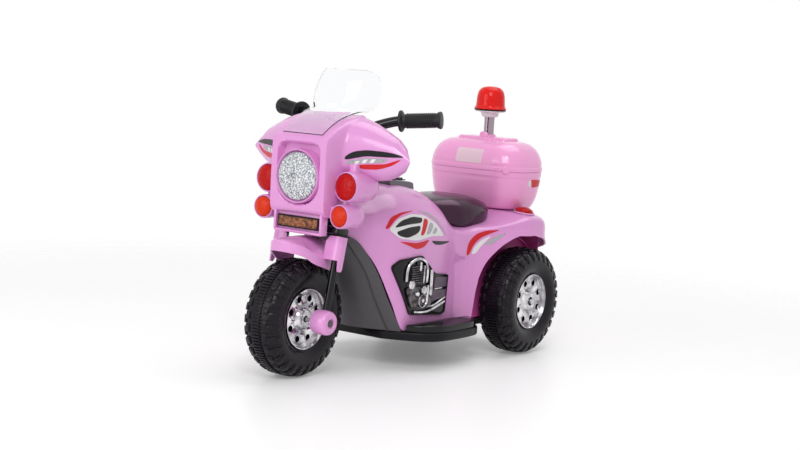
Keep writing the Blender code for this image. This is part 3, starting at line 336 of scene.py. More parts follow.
CLEAR = Finish("clear_screen", (0.96, 0.97, 0.98), (0.94, 0.95, 0.96), roughness=0.03, transmission=1.0,
    grain=0.0, wave=0.0, smudge=0.0)
WHITE = Finish("white_plastic", (0.8, 0.79, 0.77), (0.72, 0.71, 0.69), roughness=0.35)
LABEL = Finish("label_film", (0.86, 0.62, 0.72), (0.82, 0.54, 0.66), roughness=0.4)
SILVER = Finish("silvered_bowl", (0.86, 0.86, 0.88), (0.76, 0.76, 0.78), roughness=0.18, metallic=1.0)
DECAL_RED = Finish("decal_red", (0.66, 0.012, 0.018), (0.54, 0.008, 0.014), roughness=0.22, specular=0.3)
DECAL_WHITE = Finish("decal_white", (0.84, 0.83, 0.83), (0.76, 0.75, 0.76), roughness=0.24, specular=0.3)
DECAL_BLACK = Finish("decal_black", (0.007, 0.006, 0.008), (0.012, 0.011, 0.014), roughness=0.2,
    specular=0.3)
DECAL_SILVER = Finish("decal_silver", (0.42, 0.4, 0.43), (0.3, 0.29, 0.32), roughness=0.28, metallic=0.6)
PLATE_BRONZE = Finish("plate_bronze", (0.4, 0.15, 0.055), (0.06, 0.016, 0.008), drift=1.0,
    drift_scale=160.0, contrast=3.0, roughness=0.3, metallic=0.4, grain=0.8, grain_scale=260.0,
    facets=0.8, facet_scale=420.0)


class Shape:
    """Mesh builders that every sub-assembly uses."""

    @staticmethod
    def mesh(points: Iterable[Sequence[float]], faces: Iterable[Sequence[int]]) -> Mesh:
        """A mesh whose faces point outwards.

        Args:
            points: Vertex positions in metres.
            faces: Vertex indices of each face.

        Returns:
            The new mesh.
        """
        made = bpy.data.meshes.new("piece")
        made.from_pydata([tuple(p) for p in points], [], [tuple(f) for f in faces])
        editor = bmesh.new()
        editor.from_mesh(made)
        bmesh.ops.recalc_face_normals(editor, faces=editor.faces)
        editor.to_mesh(made)
        editor.free()
        return made

    @staticmethod
    def grid_faces(rows: int, count: int, wrap: bool) -> list[tuple[int, ...]]:
        """Quads between rows of count points, closed round each row when wrap is set."""
        last = count if wrap else count - 1
        return [(r * count + c, r * count + (c + 1) % count, (r + 1) * count + (c + 1) % count,
            (r + 1) * count + c) for r in range(rows - 1) for c in range(last)]

    @classmethod
    def skin(cls, rows: Sequence[Row], wall: float) -> Mesh:
        """A grid of points with a wall behind it.

        Args:
            rows: Rows of points, with normals facing out by the right-hand rule.
            wall: Thickness, laid on the back of the grid. A negative one lies on its front.

        Returns:
            The closed shell.
        """
        count = len(rows[0])
        made = bpy.data.meshes.new("piece")
        made.from_pydata([tuple(p) for row in rows for p in row], [],
            cls.grid_faces(len(rows), count, False))
        return cls.thicken(made, wall)

    @staticmethod
    def placed(name: str, data: bpy.types.ID) -> bpy.types.Object:
        """A new object in the scene with the given data."""
        made = bpy.data.objects.new(name, data)
        bpy.context.scene.collection.objects.link(made)
        return made

    @staticmethod
    def thicken(made: Mesh, wall: float) -> Mesh:
        """Gives an open mesh a wall behind its faces and returns the closed mesh."""
        guide = Shape.placed("guide", made)
        step = guide.modifiers.new("wall", "SOLIDIFY")
        step.thickness = abs(wall)
        step.offset = -1 if wall > 0 else 1
        return Shape.applied(guide)

    @staticmethod
    def applied(guide: bpy.types.Object) -> Mesh:
        """Bakes an object's modifiers to a plain mesh and removes the object."""
        graph = bpy.context.evaluated_depsgraph_get()
        graph.update()
        made = bpy.data.meshes.new_from_object(guide.evaluated_get(graph))
        bpy.data.objects.remove(guide, do_unlink=True)
        return made

    @classmethod
    def loft(cls, rings: Sequence[Row], loop: bool = False) -> Mesh:
        """A solid through equal rings of points.

        Args:
            rings: Rings with the same number of points.
            loop: Joins the last ring to the first in place of two flat ends.

        Returns:
            The closed mesh.
        """
        count = len(rings[0])
        points = [p for ring in rings for p in ring]
        faces = cls.grid_faces(len(rings) + (1 if loop else 0), count, True)
        if loop:
            faces = [tuple(i % len(points) for i in face) for face in faces]
        else:
            faces += [tuple(range(count)), tuple(range(len(points) - count, len(points)))]
        return cls.mesh(points, faces)

    @staticmethod
    def circle(radius: float, count: int, middle: tuple[float, float] = (0.0, 0.0)) -> Row:
        """Evenly spaced 2-D points of a circle."""
        turns = [2 * pi * k / count for k in range(count)]
        return [Vector((middle[0] + radius * cos(t), middle[1] + radius * sin(t))) for t in turns]

    @staticmethod
    def axes(direction: Vector) -> tuple[Vector, Vector, Vector]:
        """A unit vector along a direction and two square to it."""
        along = Vector(direction).normalized()
        side = along.cross(Z_AXIS)
        if side.length < 0.1:
            side = along.cross(Y_AXIS)
        side.normalize()
        return along, side, side.cross(along)

    @classmethod
    def lathe(cls, base: Vector, direction: Vector, profile: Profile, segments: int = 64,
            loop: bool = False) -> Mesh:
        """Turns a profile round an axis.

        Args:
            base: A point on the axis.
            direction: The axis.
            profile: Pairs of distance along the axis and radius.
            segments: Points round the axis.
            loop: True for a ring, whose profile closes on itself.

        Returns:
            The turned mesh.
        """
        along, side, up = cls.axes(direction)
        turns = [2 * pi * k / segments for k in range(segments)]
        rings = [[base + along * a + (side * cos(t) + up * sin(t)) * r for t in turns]
            for a, r in profile]
        return cls.loft(rings, loop)

    @classmethod
    def sweep(cls, path: Sequence[Vector], radius: Callable[[float], float], segments: int = 24) -> Mesh:
        """A round bar along a path.

        Args:
            path: Points of the centre line.
            radius: Radius as a function of the share of the path, from 0 to 1.
            segments: Points round the bar.

        Returns:
            The closed bar.
        """
        rings, side = [], None
        turns = [2 * pi * k / segments for k in range(segments)]
        for i, point in enumerate(path):
            along = (path[min(i + 1, len(path) - 1)] - path[max(i - 1, 0)]).normalized()
            side = cls.axes(along)[1] if side is None else (side - along * side.dot(along)).normalized()
            up = side.cross(along)
            r = radius(i / (len(path) - 1))
            rings.append([point + (side * cos(t) + up * sin(t)) * r for t in turns])
        return cls.loft(rings)

    @staticmethod
    def curve(points: Iterable[Sequence[float]], steps: int) -> Row:
        """Points of a Catmull-Rom curve through given points of any dimension."""
        points = [Vector(point) for point in points]
        ends = [2 * points[0] - points[1], *points, 2 * points[-1] - points[-2]]
        path = []
        for i in range(1, len(ends) - 2):
            a, b, c, d = ends[i - 1:i + 3]
            bend, twist = 2 * a - 5 * b + 4 * c - d, 3 * b - a - 3 * c + d
            for k in range(steps):
                t = k / steps
                path.append(0.5 * (2 * b + (c - a) * t + bend * t ** 2 + twist * t ** 3))
        return [*path, points[-1]]

    @classmethod
    def smooth_profile(cls, profile: Profile, steps: int) -> list[tuple[float, float]]:
        """A lathe profile with its corners rounded by a curve through its points."""
        return [(p.x, p.y) for p in cls.curve(profile, steps)]

    @classmethod
    def block(cls, low: Sequence[float], high: Sequence[float], edge: float) -> Mesh:
        """A box between two corners with rounded edges.

        Args:
            low: The lowest corner.
            high: The highest corner.
            edge: Radius of the edges.

        Returns:
            The closed mesh.
        """
        corners = [Vector((x, y, z)) for z in (low[2], high[2])
            for x, y in ((low[0], low[1]), (high[0], low[1]), (high[0], high[1]), (low[0], high[1]))]
        return cls.bevelled(cls.loft([corners[:4], corners[4:]]), edge, 3)

    @staticmethod
    def bevelled(made: Mesh, edge: float, segments: int = 2) -> Mesh:
        """Rounds a mesh's sharp edges and returns the new mesh."""
        guide = Shape.placed("guide", made)
        step = guide.modifiers.new("edge", "BEVEL")
        step.width = edge
        step.segments = segments
        step.limit_method = "ANGLE"
        step.angle_limit = radians(35)
        return Shape.applied(guide)

    @staticmethod
    def joined(meshes: Sequence[Mesh]) -> Mesh:
        """Several meshes as one."""
        editor = bmesh.new()
        for made in meshes:
            editor.from_mesh(made)
        whole = bpy.data.meshes.new("piece")
        editor.to_mesh(whole)
        editor.free()
        return whole

    @staticmethod
    def plate(outline: Sequence[Vector], holes: Sequence[Sequence[Vector]],
            inner: Sequence[Vector] = ()) -> tuple[Row, list[tuple[int, ...]]]:
        """Fills a flat outline with triangles, leaving holes open.

        Args:
            outline: The 2-D outer outline.
            holes: The 2-D outlines of the holes.
            inner: Further 2-D points that the triangles should use.

        Returns:
            The 2-D points and the triangles.
        """
        points, edges = [], []
        for loop in (outline, *holes):
            first = len(points)
            points += [Vector(p) for p in loop]
            edges += [(first + i, first + (i + 1) % len(loop)) for i in range(len(loop))]
        points += [Vector(p) for p in inner]
        flat, _, faces, *_ = delaunay_2d_cdt(points, edges, [], 0, 1e-7)

        def inside(p: Vector, loop: Sequence[Vector]) -> bool:
            """Whether a point lies inside a closed outline."""
            hit = False
            for a, b in zip(loop, [*loop[1:], loop[0]]):
                if (a[1] > p[1]) != (b[1] > p[1]):
                    hit ^= p[0] < (b[0] - a[0]) * (p[1] - a[1]) / (b[1] - a[1]) + a[0]
            return hit

        kept = []
        for face in faces:
            middle = sum((flat[i] for i in face), Vector((0, 0))) / len(face)
            if inside(middle, outline) and not any(inside(middle, hole) for hole in holes):
                kept.append(tuple(face))
        return list(flat), kept


class Workshop:
    """Adds finished pieces to the scene and ties them to the CAD frame."""

    @staticmethod
    def add(name: str, made: Mesh, finish: Finish, *replaces: str, body: Body = Body.CHASSIS,
            sharp: float = 38.0) -> bpy.types.Object:
        """Adds a piece that rides on a body.

        Args:
            name: The piece's name.
            made: Its mesh, in the frame's metres.
            finish: Its surface.
            *replaces: CAD nodes that it stands for.
            body: The CAD body that it moves with.
            sharp: Edges above this angle in degrees stay crisp.

        Returns:
            The new object.
        """
        made.name = name
        made.shade_smooth()
        made.set_sharp_from_angle(angle=radians(sharp))
        made.materials.clear()
        made.materials.append(finish.material())
        piece = Shape.placed(name, made)
        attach(piece, body.value)
        if replaces:
            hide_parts(*replaces)
        LOG.info("piece %s on %s", name, body.value)
        return piece

    @staticmethod
    def dress(node: str, finish: Finish) -> None:
        """Gives a CAD node that stays a finish of its own."""
        shown = frame["nodes"][node]
        for slot in shown.material_slots:
            slot.material = finish.material()


@dataclass
class BodySkin:
    """The outer form of the body, read by station and height. Both shells and all trim follow it."""

    # Stations along Y: top height, widest half-width, its height, squareness, low half-width, low height
    stations: tuple[tuple[float, ...], ...] = (
        (-0.212, 0.305, 0.036, 0.285, 2.2, 0.038, 0.262),
        (-0.19, 0.308, 0.052, 0.28, 2.2, 0.054, 0.247),
        (-0.15, 0.32, 0.078, 0.27, 2.3, 0.07, 0.205),
        (-0.116, 0.336, 0.093, 0.262, 2.3, 0.088, 0.134),
        (-0.08, 0.344, 0.1, 0.256, 2.3, 0.096, 0.074),
        (-0.04, 0.346, 0.102, 0.252, 2.3, 0.097, 0.074),
        (0.0, 0.341, 0.101, 0.25, 2.3, 0.097, 0.074),
        (0.045, 0.322, 0.097, 0.248, 2.3, 0.097, 0.074),
        (0.07, 0.292, 0.093, 0.247, 2.4, 0.097, 0.074),
        (0.09, 0.268, 0.091, 0.246, 2.8, 0.098, 0.074),
        (0.12, 0.262, 0.094, 0.24, 3.2, 0.104, 0.074),
        (0.134, 0.262, 0.098, 0.238, 3.4, 0.108, 0.08),
        (0.142, 0.263, 0.101, 0.238, 3.4, 0.112, 0.15),
        (0.16, 0.264, 0.108, 0.245, 3.5, 0.119, 0.19),
        (0.18, 0.265, 0.118, 0.25, 3.6, 0.127, 0.211),
        (0.2, 0.267, 0.128, 0.256, 3.8, 0.137, 0.228),
        (0.235, 0.277, 0.146, 0.262, 4.0, 0.152, 0.243),
        (0.266, 0.286, 0.158, 0.264, 4.2, 0.163, 0.243),
        (0.3, 0.286, 0.16, 0.258, 4.2, 0.164, 0.236),
        (0.322, 0.286, 0.154, 0.245, 4.0, 0.158, 0.224),
        (0.34, 0.284, 0.14, 0.235, 3.6, 0.143, 0.216),
        (0.358, 0.276, 0.112, 0.232, 3.4, 0.115, 0.206),
        (0.372, 0.262, 0.088, 0.225, 3.2, 0.09, 0.195),
    )
    recess_y: tuple[float, float] = (0.08, 0.13)
    recess_top: float = 0.196
    recess_depth: float = 0.008
    recess_edge: float = 0.007

    def station(self, at: float) -> list[float]:
        """Reads the station table with a smooth monotone curve.

        Args:
            at: Place along Y.

        Returns:
            The six values of the table at that place.
        """
        table = self.stations
        places = [row[0] for row in table]
        at = min(max(at, places[0]), places[-1])
        i = max(k for k in range(len(places) - 1) if places[k] <= at)
        width = places[i + 1] - places[i]
        t = (at - places[i]) / width

        def slope(k: int, column: int) -> float:
            """Slope of a column at a row, level where it turns back."""
            rises = [(table[j + 1][column] - table[j][column]) / (places[j + 1] - places[j])
                for j in (k - 1, k) if 0 <= j < len(places) - 1]
            if len(rises) == 1:
                return rises[0]
            before, after = rises
            return 0.0 if before * after <= 0 else 2 * before * after / (before + after)

        values = []
        for column in range(1, len(table[0])):
            p, q = table[i][column], table[i + 1][column]
            m, n = slope(i, column) * width, slope(i + 1, column) * width
            values.append(p * (2 * t ** 3 - 3 * t ** 2 + 1) + m * (t ** 3 - 2 * t ** 2 + t)
                          + q * (3 * t ** 2 - 2 * t ** 3) + n * (t ** 3 - t ** 2))
        return values

    def recess(self, y: float, z: float) -> float:
        """Depth of the sunk panel between the engine trim and the rear wheel."""
        def step(d: float) -> float:
            """Soft step over the recess's edge."""
            share = min(max(d / self.recess_edge, 0), 1)
            return share * share * (3 - 2 * share)
        along = step(y - self.recess_y[0]) * step(self.recess_y[1] - y)
        return self.recess_depth * along * step(self.recess_top + self.recess_edge - z)

    def half_width(self, y: float, z: float) -> float:
        """Half-width of the skin at a station and a height."""
        top, wide, wide_z, square, low_x, low_z = self.station(y)
        if z >= wide_z:
            share = min((z - wide_z) / (top - wide_z), 1)
            return wide * (1 - share ** square) ** (1 / square)
        share = (wide_z - z) / (wide_z - low_z)
        return wide + (low_x - wide) * share ** 1.5 - self.recess(y, z)

    def height(self, y: float, x: float) -> float:
        """Height of the skin at a station and a half-width."""
        top, wide, wide_z, square = self.station(y)[:4]
        share = min(abs(x) / wide, 1)
        return wide_z + (top - wide_z) * (1 - share ** square) ** (1 / square)

    def section(self, y: float, top_steps: int, side_steps: int) -> list[tuple[float, float]]:
        """Points (x, z) of a half section from the ridge to the lower edge."""
        top, wide, wide_z, square, _, low_z = self.station(y)
        points = []
        for k in range(top_steps + 1):
            angle = 0.5 * pi * k / top_steps
            points.append((wide * sin(angle) ** (2 / square), wide_z + (top - wide_z) * max(cos(angle),
                0) ** (2 / square)))
        for k in range(1, side_steps + 1):
            z = wide_z + (low_z - wide_z) * k / side_steps
            points.append((self.half_width(y, z), z))
        return points


@dataclass
class Chassis:
    """Body shells, shield, floor with footboards, arches, rear cover and saddle."""

    skin: BodySkin = field(default_factory=BodySkin)
    seam_half: float = 0.0003
    along_steps: int = 118
    top_steps: int = 26
    side_steps: int = 26

    def shell(self, side: Side) -> Mesh:
        """One body half, from the ridge down to its lower edge."""
        first, last = self.skin.stations[0][0], self.skin.stations[-1][0]
        rows = []
        for i in range(self.along_steps + 1):
            y = first + (last - first) * i / self.along_steps
            rows.append([Vector((side.value * max(x, self.seam_half), y, z))
                for x, z in self.skin.section(y, self.top_steps, self.side_steps)])
        return Shape.skin(rows, WALL * side.value)

    def shield(self) -> Mesh:
        """Dark curved shield behind the front wheel."""
        edge = mm(((52, -203, 255), (62, -180, 240), (74, -142, 190), (88, -120, 134), (96, -84, 73)))
        crease = mm(((38, -212, 255), (46, -196, 236), (56, -158, 186), (64, -134, 132),
            (71, -100, 73.5)))
        middle = mm(((0, -219, 255), (0, -208, 232), (0, -175, 182), (0, -150, 128), (0, -124, 73.5)))
        tracks = []
        for e, c, m in zip(edge, crease, middle):
            outer = Vector(e) + Vector((0, -0.0035, 0))
            half = Vector(c).lerp(Vector(m), 0.5) + Vector((0, -0.004, 0))
            lead = outer.lerp(Vector(c), 0.86)
            left = [outer, lead, Vector(c), half]
            tracks.append(left + [Vector(m)] + [Vector((-p.x, p.y, p.z)) for p in reversed(left)])
        columns = [Shape.curve(column, 10) for column in zip(*tracks)]
        rows = [Shape.curve([column[i] for column in columns], 8) for i in range(len(columns[0]))]
        return Shape.skin(rows, WALL)

    def rear_cover(self) -> Mesh:
        """Curved panel that closes the back of the body."""
        table = mm(((246, 369.5, 58), (225, 368.5, 78), (190, 366, 84), (140, 360, 84.5), (90, 352, 83),
            (74.5, 348, 80)))
        rows = []
        for z, y, half in Shape.curve(table, 6):
            rows.append([Vector((half * k / 16, y - 0.01 * (k / 16) ** 2, z)) for k in range(-16, 17)])
        return Shape.skin(rows, WALL)

    def saddle(self) -> Mesh:
        """Moulded seat: a crowned top over a full side that tucks in at its foot."""
        table = mm(((73.5, 20, 301.5), (78, 38, 306.5), (90, 56, 311.5), (120, 79, 317), (142, 86, 318.8),
            (160, 88.5, 319), (180, 88.5, 318.5), (200, 86, 316), (223.5, 77, 309), (235, 60, 300.5),
            (237.5, 40, 295)))
        rings = []
        for y, half, top in Shape.curve(table, 5):
            floor = [self.skin.height(y, min(half, 0.088) * k / 8) + 0.0012 for k in range(9)]
            ring = []
            for k in range(49):
                angle = pi * k / 48
                across, up = cos(angle), sin(angle)
                x = half * (abs(across) ** 0.62) * (1 if across >= 0 else -1)
                base = floor[8] + 0.002
                ring.append(Vector((x * (1.0 - 0.05 * (1 - up) ** 3), y,
                    base + (top - base) * up ** 0.72)))
            under = [Vector((0.93 * half * k / 8, y, floor[abs(k)])) for k in range(-8, 9)]
            rings.append(ring + under)
        return Shape.loft(rings)

    def arch_liner(self, side: Side) -> Mesh:
        """Inner wheel arch: a disc with a rim, cut off below the floor, and a wall behind the wheel."""
        inner, outer, radius = 0.0895, 0.103, 0.128
        floor_z, back_y = 0.0745, 0.342
        start, stop = radians(-15), radians(195)
        rim = [Vector((REAR_AXLE.y + radius * cos(start + (stop - start) * k / 60),
            TYRE_R + radius * sin(start + (stop - start) * k / 60))) for k in range(61)]
        rim = [Vector((min(p.x, back_y), max(p.y, floor_z))) for p in rim]
        hub = Shape.circle(0.016, 32, (REAR_AXLE.y, TYRE_R))
        flat, faces = Shape.plate(rim, [hub])
        disc = bpy.data.meshes.new("piece")
        disc.from_pydata([(side.value * inner, p.x, p.y) for p in flat], [], faces)
        disc = Shape.thicken(disc, -WALL * side.value)
        wall = Shape.skin([[side.at(x, p.x, p.y) for p in rim] for x in (inner, outer)],
            WALL * side.value)
        near, far = sorted((side.value * 0.084, side.value * 0.1265))
        # This wall stands where the inside of the fender's far wall shows behind the wheel. Its deep pink is
        # painted shade.
        back = Shape.block((near, 0.3435, 0.197), (far, 0.3455, 0.2575), 0.0005)
        return Shape.joined([disc, wall, back])

    def floor_pan(self) -> Mesh:
        """Floor slab with a rounded nose and the plates that carry the rear axle."""
        half = mm(((60, -105), (94, -90), (128, -70), (149, -45), (157, -10), (157, 60), (151, 92),
            (134, 112), (104, 120)))
        tail = [Vector((0.086, 0.134)), Vector((0.086, 0.345))]
        left = Shape.curve(half, 5) + tail
        outline = left + [Vector((-p.x, p.y)) for p in reversed(left)]
        slab = Shape.loft([[Vector((p.x, p.y, z)) for p in outline] for z in (0.056, 0.0725)])
        plates = [Shape.block((s * 0.082 - 0.004, 0.246, 0.07), (s * 0.082 + 0.004, 0.286, 0.098), 0.001)
            for s in (1, -1)]
        return Shape.joined([Shape.bevelled(slab, 0.003, 3), *plates])

    def footboard(self, side: Side) -> Mesh:
        """Raised board with a rolled rim that stands on the floor slab beside the body."""
        board = mm(((101, -80), (126, -67), (146, -43), (154.2, -9), (154.2, 59), (148, 90), (133, 108),
            (108, 115)))
        edge = Shape.curve(board, 6)
        outline = edge + [Vector((0.108, 0.078)), Vector((0.101, 0.072))]
        rings = [[side.at(p.x, p.y, z) for p in outline] for z in (0.0715, 0.086)]
        return Shape.bevelled(Shape.loft(rings), 0.0028, 3)

    def build(self) -> None:
        """Makes the pieces and dresses the hidden nodes that stay."""
        for side in Side:
            Workshop.add(f"shell_{side.word}", self.shell(side), PINK, f"body_{side.word}_shell")
            # The arch liners' deep pink is painted shade for the inside of the rear fender.
            Workshop.add(f"arch_{side.word}", self.arch_liner(side), DEEP_PINK_AND_PAINTED_SHADE, f"arch_liner_{side.word}")
            Workshop.add(f"footboard_{side.word}", self.footboard(side), GLOSS_BLACK)
        Workshop.add("shield", self.shield(), SHIELD_GREY, "front_shield")
        Workshop.add("floor_slab", self.floor_pan(), BLACK, "floor_pan")
        Workshop.add("back_cover", self.rear_cover(), PINK, "rear_cover")
        Workshop.add("saddle", self.saddle(), SEAT_BLACK, "seat")
        for node, finish in (("steering_frame", BLACK), ("lower_steering_bush", WHITE),
                ("upper_steering_bush", WHITE), ("rear_axle", STEEL), ("gearbox_case", BLACK),
                ("gearbox_cover", BLACK), ("motor", STEEL), ("battery", SHIELD_GREY),
                ("output_gear", WHITE), ("motor_pinion", STEEL)):
            Workshop.dress(node, finish)


@dataclass
class Studio:
    """Pale floor, soft light and the camera at the photograph's viewpoint."""

    azimuth: float = 35.6767
    elevation: float = 6.3843
    roll: float = 3.4803
    distance: float = 3.2135
    focal_px: float = 1629.76
    aim: Vector = field(default_factory=lambda: Vector((0.0, 0.0224, 0.2598)))
    frame_px: float = 800.0
    ambient: float = 0.4
    # Name, place, edge length and power of each lamp
    lamps: tuple[tuple[str, tuple[float, float, float], float, float],
        ...] = (("key", (1.5, -2.4, 2.4), 1.4, 34.0), ("fill", (-0.7, -3.0, 1.0), 1.8, 26.0),
        ("top", (0.2, 0.8, 3.0), 2.0, 26.0), ("spark", (1.6, -1.8, 2.6), 0.24, 5.0))
    floor_fade: tuple[float, float] = (0.75, 1.9)
    floor_size: float = 28.0

    def camera(self) -> None:
        """Places the camera."""
        a, e, r = radians(self.azimuth), radians(self.elevation), radians(self.roll)
        back = Vector((sin(a) * cos(e), -cos(a) * cos(e), sin(e)))
        right = Vector((cos(a), sin(a), 0))
        up = back.cross(right)
        turned = cos(r) * right + sin(r) * up
        raised = cos(r) * up - sin(r) * right
        lens = bpy.data.cameras.new("camera")
        lens.sensor_width = 36.0
        lens.lens = self.focal_px / self.frame_px * lens.sensor_width
        lens.clip_end = 60.0
        camera = Shape.placed("camera", lens)
        camera.matrix_world = Matrix.Translation(self.aim + back * self.distance) @ Matrix((turned,
            raised, back)).transposed().to_4x4()
        bpy.context.scene.camera = camera

    def light(self) -> None:
        """World light, three soft lamps and a small one for the highlights."""
        world = bpy.data.worlds.new("studio")
        bpy.context.scene.world = world
        world.use_nodes = True
        kit = NodeKit(world.node_tree)
        kit.tree.nodes.clear()
        white = (1.0, 1.0, 1.0, 1)
        ambient = kit.node("ShaderNodeBackground", Color=white, Strength=self.ambient)
        backdrop = kit.node("ShaderNodeBackground", Color=white, Strength=1.0)
        seen = kit.node("ShaderNodeLightPath").outputs
        factor = seen["Is Camera Ray"]
        for ray in ("Is Glossy Ray", "Is Transmission Ray"):
            factor = kit.math("MAXIMUM", factor, seen[ray])
        mix = kit.node("ShaderNodeMixShader", Fac=factor, i1=ambient.outputs[0], i2=backdrop.outputs[0])
        kit.node("ShaderNodeOutputWorld", Surface=mix.outputs[0])
        for name, place, size, power in self.lamps:
            lamp = bpy.data.lights.new(name, "AREA")
            lamp.size = size
            lamp.energy = power
            shown = Shape.placed(name, lamp)
            shown.location = place
            shown.rotation_euler = (Vector((0, 0, 0.25)) - Vector(place)).to_track_quat("-Z",
                "Y").to_euler()

    def floor(self) -> None:
        """A large white floor that fades into the background."""
        half, white = 0.5 * self.floor_size, (1, 1, 1, 1)
        made = bpy.data.meshes.new("floor")
        made.from_pydata([(-half, -half, 0), (half, -half, 0), (half, half, 0), (-half, half, 0)], [],
            [(0, 1, 2, 3)])
        paint = bpy.data.materials.new("studio_floor")
        paint.use_nodes = True
        kit = NodeKit(paint.node_tree)
        shader = kit.tree.nodes["Principled BSDF"]
        kit.fill(shader, Base_Color=(0.93, 0.93, 0.93, 1), Roughness=0.42)
        lifted = kit.node("ShaderNodeEmission", Color=white, Strength=0.16)
        total = kit.node("ShaderNodeAddShader", i0=shader.outputs[0], i1=lifted.outputs[0])
        place = kit.node("ShaderNodeTexCoord").outputs["Object"]
        reach = kit.node("ShaderNodeVectorMath", {"operation": "LENGTH"}, i0=place).outputs["Value"]
        near, far = self.floor_fade
        share = kit.node("ShaderNodeMapRange", {"interpolation_type": "SMOOTHSTEP"}, Value=reach,
            From_Min=near, From_Max=far).outputs["Result"]
        gone = kit.node("ShaderNodeBsdfTransparent").outputs[0]
        blend = kit.node("ShaderNodeMixShader", Fac=share, i1=total.outputs[0], i2=gone)
        kit.fill(kit.tree.nodes["Material Output"], Surface=blend.outputs[0])
        made.materials.append(paint)
        Shape.placed("floor", made)

    def build(self) -> None:
        """Sets the view transform, the light, the floor and the camera."""
        bpy.context.scene.view_settings.view_transform = "Standard"
        self.light()
        self.floor()
        self.camera()


def line(points: Profile, at: float) -> float:
    """Reads a list of (position, value) by straight lines."""
    for (a, p), (b, q) in zip(points, points[1:]):
        if at <= b:
            return p + (q - p) * max(at - a, 0) / (b - a)
    return points[-1][1]


def ease(share: float) -> float:
    """A soft step from 0 to 1."""
    share = min(max(share, 0), 1)
    return share * share * (3 - 2 * share)


@dataclass
class FairingForm:
    """The outer form of the front cowl: a square face, a slope above it and two wings."""

    face_half: float = 0.0625
    wing_start: float = 0.073
    wing_tip: float = 0.182
    recess_half: float = 0.0495
    recess_top: float = 0.4275
    recess_low: float = 0.314
    recess_depth: float = 0.0165
    recess_edge: float = 0.0045
    top_corner: float = 0.016
    low_corner: float = 0.044
    points_across: int = 84
    rim: Profile = tuple(mm(((-200, 481), (-235, 473), (-270, 457), (-293, 441.5), (-300.5, 433),
        (-303, 420), (-303, 390), (-303, 350), (-302.2, 318), (-299, 304), (-290, 297), (-278.5, 296.5))))
    wing_top: Profile = tuple(mm(((63, 478), (80, 474), (100, 467), (120, 458), (150, 443), (168, 426),
        (182, 408))))
    wing_low: Profile = tuple(mm(((63, 368), (100, 364), (130, 368), (150, 376), (168, 388), (182, 404))))
    middle_z: float = 0.404

    def nose(self, x: float) -> float:
        """How far forward a wing reaches at a half-width."""
        return -0.266 + (x - 0.073) * 0.49

    def rear(self, x: float) -> float:
        """Where a wing's open rear edge lies along Y."""
        return -0.2 - 0.012 * max(0.0, (x - 0.165) / 0.017)

    def face_depth(self, x: float, z: float) -> float:
        """How deep the sunk panel round the headlight lies at a point of the face."""
        middle = 0.5 * (self.recess_top + self.recess_low)
        half = 0.5 * (self.recess_top - self.recess_low)
        corner = self.top_corner if z > middle else self.low_corner
        dx = abs(x) - (self.recess_half - corner)
        dz = abs(z - middle) - (half - corner)
        outside = (max(dx, 0) ** 2 + max(dz, 0) ** 2) ** 0.5 + min(max(dx, dz), 0) - corner
        return self.recess_depth * ease(-outside / self.recess_edge)

    def face_profile(self, x: float) -> Row:
        """Profile from the rear edge of the slope down the face to its lower lip."""
        path = Shape.curve(self.rim, 8)
        lengths = [0.0]
        for a, b in zip(path, path[1:]):
            lengths.append(lengths[-1] + (b - a).length)
        row = []
        for k in range(self.points_across + 1):
            at = lengths[-1] * k / self.points_across
            i = max(j for j in range(len(path) - 1) if lengths[j] <= at + 1e-9)
            point = path[i].lerp(path[i + 1], (at - lengths[i]) / (lengths[i + 1] - lengths[i]))
            crown = 0.0012 * (1 - (x / self.face_half) ** 2) * ease((-0.2 - point.x) / 0.05)
            row.append(Vector((x, point.x + self.face_depth(x, point.y), point.y + crown)))
        return row

    def wing_profile(self, x: float) -> Row:
        """Profile of a wing from its rear top edge round the nose to its rear lower edge."""
        rear, nose = self.rear(abs(x)), self.nose(abs(x))
        top, low = line(self.wing_top, abs(x)), line(self.wing_low, abs(x))
        depth = rear - nose
        row = []
        for k in range(self.points_across + 1):
            turn = pi * k / self.points_across
            if turn <= 0.5 * pi:
                y = rear - depth * sin(turn) ** 0.88
                z = self.middle_z + (top - self.middle_z) * max(cos(turn), 0) ** 0.8
            else:
                down = turn - 0.5 * pi
                y = rear - depth * max(cos(down), 0) ** 0.8
                z = self.middle_z - (self.middle_z - low) * sin(down) ** 0.9
            row.append(Vector((x, y, z)))
        return row

    def wing_front(self, x: float, z: float) -> float:
        """Where the front of a wing lies along Y at a half-width and a height."""
        rear, depth = self.rear(x), self.rear(x) - self.nose(x)
        if z >= self.middle_z:
            part = ((z - self.middle_z) / (line(self.wing_top, x) - self.middle_z)) ** 1.25
            return rear - depth * max(1 - part * part, 0) ** 0.44
        part = ((self.middle_z - z) / (self.middle_z - line(self.wing_low, x))) ** (1 / 0.9)
        return rear - depth * max(1 - part * part, 0) ** 0.4

    def profile(self, x: float) -> Row:
        """Profile at any half-width, with the face blended into the wing."""
        if abs(x) <= self.face_half:
            return self.face_profile(x)
        side = 1 if x > 0 else -1
        if abs(x) >= self.wing_start:
            return self.wing_profile(x)
        share = (abs(x) - self.face_half) / (self.wing_start - self.face_half)
        face, wing = self.face_profile(side * self.face_half), self.wing_profile(side * self.wing_start)
        return [Vector((x, *p.yz.lerp(q.yz, ease(share) if share > 0.5 else share ** 1.4 * 1.32)))
            for p, q in zip(face, wing)]


